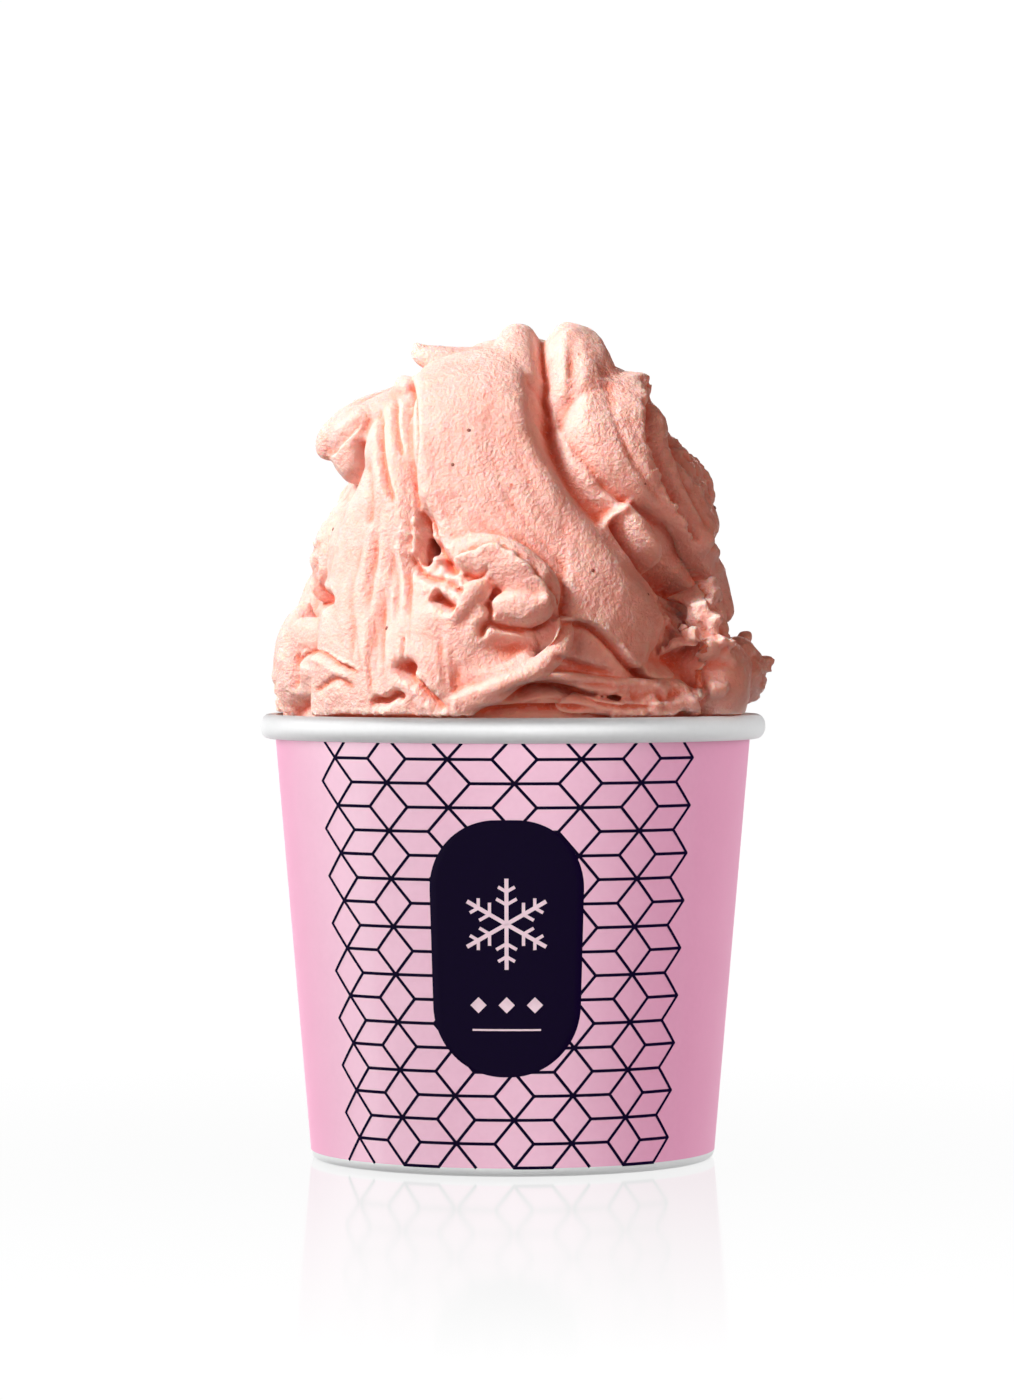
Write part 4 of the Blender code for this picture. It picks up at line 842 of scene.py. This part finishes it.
def fill_cup(points):
    """Keep the heap inside the rim, and draw its foot down the wall to the floor of the cup."""
    shaped = points.copy()
    floor = (FLOOR_HEIGHT + PAPER + GAP - CUP_HEIGHT) / MM
    low = shaped[:, 2] < FILLING_FROM
    share = (FILLING_FROM - shaped[low, 2]) / (FILLING_FROM - CORE_HEIGHTS[0])
    shaped[low, 2] = FILLING_FROM + np.clip(share, 0, 1) * (floor - FILLING_FROM)
    inside = np.nonzero(shaped[:, 2] < GAP / MM)[0]
    room = np.array([inside_radius(CUP_HEIGHT + height * MM) - GAP for height in shaped[inside, 2]]) / MM
    reach = np.hypot(shaped[inside, 0], shaped[inside, 1])
    shaped[inside, :2] *= np.minimum(1.0, room / np.maximum(reach, 0.001))[:, None]
    return shaped


def neighbour_mean(mesh, values, rounds):
    """Values averaged over the neighbours of every point, a few times over."""
    flat = np.empty(len(mesh.edges) * 2, np.int32)
    mesh.edges.foreach_get("vertices", flat)
    first, second = flat[::2], flat[1::2]
    number = len(mesh.vertices)
    links = np.bincount(first, minlength=number) + np.bincount(second, minlength=number)
    for _ in range(rounds):
        mixed = []
        for column in values.T:
            forward = np.bincount(first, column[second], number)
            backward = np.bincount(second, column[first], number)
            mixed.append(forward + backward)
        values = (values + np.stack(mixed, axis=1)) / (1 + links)[:, None]
    return values


def store_hollows(mesh):
    """How far each point lies under the mean of its surroundings, in millimetres, near and wide."""
    points = mesh_points(mesh)
    flat = np.empty(len(mesh.vertices) * 3, np.float32)
    mesh.vertex_normals.foreach_get("vector", flat)
    normals = flat.reshape(-1, 3)
    near = neighbour_mean(mesh, points, 4)
    wide = neighbour_mean(mesh, near, 30)
    # These depths drive the painted shade in the hollows and the painted highlight on the ridges of the
    # gelato's colour.
    for name, mean in (("hollow_near", near), ("hollow_wide", wide)):
        depth = ((mean - points) * normals).sum(axis=1) / MM
        attribute = mesh.attributes.new(name, "FLOAT", "POINT")
        attribute.data.foreach_set("value", depth.astype(np.float32))


def make_heap(material):
    bm = bmesh.new()
    add_core(bm)
    for lay in (lay_main_sweep, lay_second_sheet, lay_right_side, lay_left_side, lay_leaf, lay_ropes,
                lay_back):
        lay(bm)
    strokes = new_object("strokes", mesh_from(bm, "strokes"))
    join = strokes.modifiers.new("join", "REMESH")
    join.mode = "VOXEL"
    join.voxel_size = HEAP_VOXEL
    soften = strokes.modifiers.new("soften", "SMOOTH")
    soften.factor = 0.5
    soften.iterations = 3
    skin = evaluated_mesh(strokes)
    heap = Sculpt(mesh_points(skin))
    for mark in (mark_sheets, mark_leaf, mark_drape, mark_back, mark_fine_front, mark_fine_round):
        mark(heap)
    heap.moved += roughen(heap.points)
    set_mesh_points(skin, fill_cup(heap.result()) * MM + [0, 0, CUP_HEIGHT])
    drop_foot(skin)
    rough = new_object("rough_heap", skin)
    thin = rough.modifiers.new("thin", "DECIMATE")
    thin.ratio = min(1.0, HEAP_TRIANGLES / triangle_count(skin))
    thin.use_collapse_triangulate = True
    mesh = evaluated_mesh(rough)
    mesh.shade_smooth()
    store_hollows(mesh)
    item = new_object("gelato_heap", mesh)
    dress(item, "gelato", "gelato", material)
    return item


def triangle_count(mesh):
    return sum(len(face.vertices) - 2 for face in mesh.polygons)


def drop_foot(mesh):
    """Put one face in place of the many on the flat hidden foot."""
    floor = FLOOR_HEIGHT + PAPER + GAP
    bm = bmesh.new()
    bm.from_mesh(mesh)
    foot = [face for face in bm.faces if max(vert.co.z for vert in face.verts) < floor + 0.0001]
    bmesh.ops.delete(bm, geom=foot, context="FACES")
    open_edges = [edge for edge in bm.edges if edge.is_boundary]
    bmesh.ops.holes_fill(bm, edges=open_edges)
    bm.to_mesh(mesh)
    bm.free()


# Small dark specks, each as (x, height over the rim, radius) in millimetres as the eye sees it
SPECKS = [(-8.5, 54.4, 0.34), (15.3, 27.5, 0.36), (26.0, 22.9, 0.30), (-24.3, 16.4, 0.42),
          (-34.5, 35.4, 0.34), (25.4, 44.1, 0.24), (-11.6, 47.8, 0.34)]
BACK_SPECKS = 9


def make_specks(heap, material):
    tree = BVHTree.FromObject(heap, bpy.context.evaluated_depsgraph_get())
    eye = Vector((0.0, -EYE_DISTANCE, CUP_HEIGHT / MM + EYE_HEIGHT)) * MM
    rng = np.random.default_rng(21)
    bm = bmesh.new()
    aims = [(eye, Vector((x * MM, 0.0, CUP_HEIGHT + h * MM)), r) for x, h, r in SPECKS]
    for n in range(BACK_SPECKS):
        turn = math.radians(70 + 220 * n / BACK_SPECKS + rng.uniform(-6, 6))
        height = CUP_HEIGHT + rng.uniform(8, 58) * MM
        start = Vector((math.sin(turn) * 0.2, -math.cos(turn) * 0.2, height))
        aims.append((start, Vector((0.0, 0.0, height)), rng.uniform(0.24, 0.4)))
    for start, target, radius in aims:
        spot, normal, face, distance = tree.ray_cast(start, (target - start).normalized())
        if spot is None:
            continue
        made = bmesh.ops.create_icosphere(bm, subdivisions=2, radius=1.0)
        long = rng.uniform(0.9, 1.5)
        spin = rng.uniform(0, math.pi)
        turn = normal.to_track_quat("Z", "X").to_matrix()
        for vert in made["verts"]:
            along, across = vert.co.x * long, vert.co.y
            x = along * math.cos(spin) - across * math.sin(spin)
            y = along * math.sin(spin) + across * math.cos(spin)
            vert.co = spot + turn @ Vector((x, y, vert.co.z * 0.5)) * radius * MM
    mesh = mesh_from(bm, "fruit_specks")
    mesh.shade_smooth()
    item = new_object("fruit_specks", mesh)
    dress(item, None, "gelato", material)


# The paper cup

def arc(centre, radii, start, end, count):
    """Points on an upright ellipse from one angle to another, in degrees."""
    angles = np.radians(np.linspace(start, end, count))
    return [(centre[0] + radii[0] * math.cos(a), centre[1] + radii[1] * math.sin(a)) for a in angles]


def wall_radius(height):
    """Outer radius of the tapered wall at a height."""
    share = (height - WALL_FOOT_HEIGHT) / (CUP_HEIGHT - RIM_DEPTH - WALL_FOOT_HEIGHT)
    return WALL_FOOT_RADIUS + share * (WALL_TOP_RADIUS - WALL_FOOT_RADIUS)


def inside_radius(height):
    """Inner radius of the wall, which runs straight up inside the rim."""
    return wall_radius(min(height, CUP_HEIGHT - RIM_DEPTH)) - PAPER


def wall_middle_line():
    """The middle of the paper, from the end of the rim's curl down the wall to the end of the hem."""
    half = PAPER / 2
    inner = inside_radius(CUP_HEIGHT) + half
    outer = RIM_RADIUS - half
    width = (outer - inner) / 2
    height = RIM_DEPTH / 2 - half
    rim = arc((inner + width, CUP_HEIGHT - half - height), (width, height), -108, 180, 37)
    turn = HEM_WIDTH / 2
    hem_middle = WALL_FOOT_RADIUS - half - turn
    drop = (WALL_FOOT_HEIGHT - half) / math.cos(math.radians(6))
    hem = arc((hem_middle, WALL_FOOT_HEIGHT), (turn, drop), 0, -180, 16)
    heights = np.linspace(CUP_HEIGHT - RIM_DEPTH, WALL_FOOT_HEIGHT, 14)[:-1]
    wall = [(wall_radius(z) - half, z) for z in heights]
    return rim + wall + hem + [(hem_middle - turn, HEM_DEPTH)]


def make_wall(pink, white):
    """Wall, rolled rim and folded hem, with the printed colour on the outside of the wall alone."""
    bm = bmesh.new()
    line = [bm.verts.new((radius, 0.0, height)) for radius, height in wall_middle_line()]
    for first, second in zip(line, line[1:]):
        bm.edges.new((first, second))
    item = new_object("paper_wall_line", mesh_from(bm, "paper_wall"))
    screw = item.modifiers.new("turn", "SCREW")
    screw.axis = "Z"
    screw.steps = TURN_STEPS
    screw.render_steps = TURN_STEPS
    screw.use_merge_vertices = True
    screw.merge_threshold = 0.00001
    shell = item.modifiers.new("paper", "SOLIDIFY")
    shell.thickness = PAPER
    shell.offset = 0.0
    shell.use_even_offset = True
    wall = evaluated_mesh(item)
    wall.shade_smooth()
    for face in wall.polygons:
        centre, normal = face.center, face.normal
        outside = centre.x * normal.x + centre.y * normal.y > 0
        on_the_wall = math.hypot(centre.x, centre.y) > WALL_FOOT_RADIUS - PAPER
        printed = WHITE_FOOT < centre.z < CUP_HEIGHT - RIM_DEPTH
        face.material_index = 0 if outside and on_the_wall and printed else 1
    dress(new_object("paper_wall", wall), "cup_wall", "printed_paper", pink, white)


def on_wall(angle, height, lift):
    """A point off the outside of the wall: the angle in degrees, the height and lift in millimetres."""
    turn = math.radians(angle)
    radius = wall_radius(height * MM) + lift * MM
    return (radius * math.sin(turn), -radius * math.cos(turn), height * MM)


def make_seam(pink):
    """The overlap of the wall's paper, down the back of the cup."""
    bm = bmesh.new()
    heights = np.linspace(SEAM_FOOT, SEAM_TOP, 12)
    add_strip(bm, [[on_wall(a, h, l) for a, l in zip(SEAM_ANGLES, SEAM_LIFTS)] for h in heights])
    paper_layer(bm, "side_seam", SEAM_PAPER, pink)


def paper_layer(bm, name, thickness, material):
    """A thin closed layer on the wall, with its skin where the given faces lie."""
    sheet = new_object(name + "_sheet", mesh_from(bm, name))
    body = sheet.modifiers.new("body", "SOLIDIFY")
    body.thickness = thickness
    body.offset = -1.0
    item = new_object(name, evaluated_mesh(sheet))
    dress(item, None, "printed_paper", material)
    return item


# The print

def add_ribbon(bm, start, end, width, lift):
    """A printed line between two points given as (angle, height), bent round the wall."""
    mean = wall_radius((start[1] + end[1]) / 2 * MM) / MM
    per_degree = mean * math.pi / 180
    run = np.array([(end[0] - start[0]) * per_degree, end[1] - start[1]])
    length = np.hypot(*run)
    if length < 0.01:
        return
    side = np.array([-run[1], run[0]]) / length * width / 2
    pieces = max(1, int(math.ceil(abs(end[0] - start[0]) / 2.5)))
    extend = run / length * width * 0.3
    rows = []
    for t in np.linspace(0, 1, pieces + 1):
        centre = np.array([start[0] * per_degree, start[1]]) + run * t + extend * (2 * t - 1)
        edges = [centre - side, centre + side]
        rows.append([bm.verts.new(on_wall(x / per_degree, height, lift)) for x, height in edges])
    for first, second in zip(rows, rows[1:]):
        bm.faces.new((first[0], second[0], second[1], first[1]))


def clip_line(start, end, low, high):
    """The stretch of a line between two heights, or nothing."""
    (a0, h0), (a1, h1) = start, end
    if max(h0, h1) <= low or min(h0, h1) >= high:
        return None
    if abs(h1 - h0) < 1e-9:
        return start, end
    ts = sorted(((low - h0) / (h1 - h0), (high - h0) / (h1 - h0)))
    t0, t1 = max(0.0, ts[0]), min(1.0, ts[1])
    return (a0 + (a1 - a0) * t0, h0 + (h1 - h0) * t0), (a0 + (a1 - a0) * t1, h0 + (h1 - h0) * t1)


def block_lines():
    """The lines of a tumbling-blocks pattern, each once, as pairs of (angle, height) points."""
    side = 2 * PRINT_HALF_ANGLE / (1.5 * (PRINT_COLUMNS - 1) + 2)
    lines = {}
    for column in range(PRINT_COLUMNS):
        for row in range(-1, 12):
            angle = side - PRINT_HALF_ANGLE + 1.5 * side * column
            height = PRINT_FOOT + (2 * row + column % 2) * BLOCK_RISE
            steps = [(1, 0), (0.5, 1), (-0.5, 1), (-1, 0), (-0.5, -1), (0.5, -1)]
            ring = [(angle + side * x, height + BLOCK_RISE * y) for x, y in steps]
            spokes = [((angle, height), corner) for corner in ring[::2]]
            for first, second in list(zip(ring, ring[1:] + ring[:1])) + spokes:
                key = tuple(sorted((round(a, 2), round(h, 2)) for a, h in (first, second)))
                lines[key] = (first, second)
    return list(lines.values())


def make_lattice(ink):
    bm = bmesh.new()
    for start, end in block_lines():
        part = clip_line(start, end, PRINT_FOOT, PRINT_TOP)
        if part:
            ends = [(angle + PRINT_TURN, height) for angle, height in part]
            add_ribbon(bm, ends[0], ends[1], PRINT_LINE, PRINT_LIFT)
    paper_layer(bm, "print_lattice", INK_DEPTH, ink)


def badge_half_width(height):
    """Half width of the badge at a height, in millimetres along the wall."""
    full = math.radians(BADGE_HALF_ANGLE) * wall_radius(height * MM) / MM
    to_end = min(height - BADGE_LOW, BADGE_HIGH - height)
    if to_end >= BADGE_CORNER:
        return full
    short = BADGE_CORNER - math.sqrt(max(BADGE_CORNER ** 2 - (BADGE_CORNER - to_end) ** 2, 0.0))
    return full - short


def make_badge(ink):
    """The dark rounded panel in the middle of the print."""
    bm = bmesh.new()
    heights = BADGE_LOW + (BADGE_HIGH - BADGE_LOW) * (1 - np.cos(np.linspace(0, math.pi, 61))) / 2
    rows = []
    for height in heights:
        half = badge_half_width(height)
        per_degree = wall_radius(height * MM) / MM * math.pi / 180
        rows.append([on_wall(BADGE_TURN + s * half / per_degree, height, 2.2 * PRINT_LIFT)
                     for s in np.linspace(-1, 1, 19)])
    add_strip(bm, rows)
    paper_layer(bm, "print_badge", INK_DEPTH, ink).data.shade_smooth()


def make_emblem(pink):
    """A plain snow crystal, with a row of small lozenges and a rule under it."""
    bm = bmesh.new()
    lift = 3.4 * PRINT_LIFT

    def place(x, y, height=CRYSTAL_MIDDLE):
        z = height + y
        return (BADGE_TURN + x / (wall_radius(z * MM) / MM * math.pi / 180), z)

    for arm in range(6):
        way = math.radians(90 + 60 * arm)
        tip = (CRYSTAL_ARM * math.cos(way), CRYSTAL_ARM * math.sin(way))
        add_ribbon(bm, place(0, 0), place(*tip), CRYSTAL_LINE, lift)
        for reach, barb in CRYSTAL_BARBS:
            root = (reach * math.cos(way), reach * math.sin(way))
            for turn in (-60, 60):
                bend = way + math.radians(turn)
                end = (root[0] + barb * math.cos(bend), root[1] + barb * math.sin(bend))
                add_ribbon(bm, place(*root), place(*end), BARB_LINE, lift)
    for x in (-LOZENGE_STEP, 0.0, LOZENGE_STEP):
        ways = ((-LOZENGE, 0), (0, -LOZENGE), (LOZENGE, 0), (0, LOZENGE))
        corners = [place(x + dx, dy, LOZENGE_HEIGHT) for dx, dy in ways]
        bm.faces.new([bm.verts.new(on_wall(angle, height, lift)) for angle, height in corners])
    add_ribbon(bm, place(-RULE_REACH, 0, RULE_HEIGHT), place(RULE_REACH, 0, RULE_HEIGHT), RULE_LINE, lift)
    paper_layer(bm, "print_emblem", INK_DEPTH, pink)


# Stage, light and camera

def make_stage():
    """A white floor whose faint reflection fades away from the cup, and white walls for it to mirror."""
    bpy.ops.mesh.primitive_plane_add(size=FLOOR_SIZE, location=(0.0, 0.0, 0.0))
    floor = bpy.context.object
    floor.name = "floor"
    look = Nodes("white_floor")
    spread = look.add("ShaderNodeVectorMath", "Value", {0: look.place}, operation="LENGTH")
    fade = look.span(spread, SHINE_FROM, SHINE_TO, FLOOR_SHINE, 0.0)
    shine = look.add("ShaderNodeBsdfGlossy", 0, {"Roughness": FLOOR_ROUGHNESS})
    glow = look.add("ShaderNodeEmission", 0, {"Strength": WHITE_GLOW})
    look.surface(look.add("ShaderNodeMixShader", 0, {0: fade, 1: glow, 2: shine}))
    floor.data.materials.append(look.material)
    floor.visible_diffuse = False
    floor.visible_shadow = False
    bpy.ops.mesh.primitive_uv_sphere_add(segments=32, ring_count=16, radius=DOME_RADIUS,
                                         location=(0.0, 0.0, 0.0))
    dome = bpy.context.object
    dome.name = "dome"
    white = Nodes("white_dome")
    white.surface(white.add("ShaderNodeEmission", 0, {"Strength": WHITE_GLOW}))
    dome.data.materials.append(white.material)
    dome.visible_diffuse = False
    dome.visible_transmission = False
    dome.visible_volume_scatter = False
    dome.visible_shadow = False
    dome.light_linking.receiver_collection = lit_group("mirrors", [floor])
    return floor


def make_world():
    """White behind everything, and a weak even light."""
    world = bpy.data.worlds.new("studio")
    bpy.context.scene.world = world
    world.use_nodes = True
    even = world.node_tree.nodes["Background"]
    even.inputs["Color"].default_value = (1.0, 1.0, 1.0, 1.0)
    even.inputs["Strength"].default_value = WORLD_STRENGTH


def add_light(name, azimuth, elevation, size, power, colour, only):
    """A square soft light that looks at the object. Azimuth 0 is in front, and -90 at the left."""
    turn, rise = math.radians(azimuth), math.radians(elevation)
    target = Vector((0.0, 0.0, AIM_HEIGHT))
    way = Vector((math.sin(turn) * math.cos(rise), -math.cos(turn) * math.cos(rise), math.sin(rise)))
    light = bpy.data.lights.new(name, "AREA")
    light.size = size
    light.energy = power
    light.color = colour
    item = new_object(name, light)
    item.location = target + way * LIGHT_DISTANCE
    item.rotation_euler = (-way).to_track_quat("-Z", "Y").to_euler()
    item.light_linking.receiver_collection = only
    return item


def lit_group(name, items):
    group = bpy.data.collections.new(name)
    for item in items:
        group.objects.link(item)
    return group


def make_camera():
    data = bpy.data.cameras.new("camera")
    data.sensor_width = SENSOR
    data.lens = FOCAL_LENGTH
    data.clip_start = 0.01
    camera = new_object("camera", data)
    camera.location = (CAMERA_X, -EYE_DISTANCE * MM, CAMERA_HEIGHT)
    way = Vector((0.0, EYE_DISTANCE * MM, -CAMERA_DROP))
    camera.rotation_euler = way.to_track_quat("-Z", "Y").to_euler()
    bpy.context.scene.camera = camera


def make_lights(heap_items, other_items):
    """Soft light from the left on the heap, and an even wrap with a broad gloss on the cup."""
    heap_group = lit_group("lit_heap", heap_items)
    other_group = lit_group("lit_cup", other_items)
    for light in HEAP_LIGHTS:
        add_light(*light, heap_group)
    for light in CUP_LIGHTS:
        add_light(*light, WHITE_LIGHT, other_group).visible_glossy = False
    for light in CUP_SHEENS:
        add_light(*light, WHITE_LIGHT, other_group).visible_diffuse = False


def main():
    bpy.context.scene.view_settings.view_transform = "Standard"
    peach = gelato_material()
    pink = paper_material("pink_paper", (0.845, 0.29, 0.50), (0.875, 0.315, 0.53), 0.46)
    white = paper_material("white_paper", (0.80, 0.80, 0.805), (0.84, 0.84, 0.845), 0.5)
    ink = ink_material()
    line = paper_material("pink_line", (0.80, 0.44, 0.56), (0.84, 0.48, 0.60), 0.42)
    heap = make_heap(peach)
    make_specks(heap, speck_material())
    make_wall(pink, white)
    make_seam(pink)
    make_lattice(ink)
    make_badge(ink)
    make_emblem(line)
    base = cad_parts["cup_base"]
    base.data.materials.clear()
    base.data.materials.append(white)
    floor = make_stage()
    make_world()
    heap_items = [bpy.data.objects[name] for name in ("gelato_heap", "fruit_specks")]
    names = ("paper_wall", "side_seam", "print_lattice", "print_badge", "print_emblem")
    other_items = [bpy.data.objects[name] for name in names] + [base, floor]
    make_lights(heap_items, other_items)
    make_camera()


main()
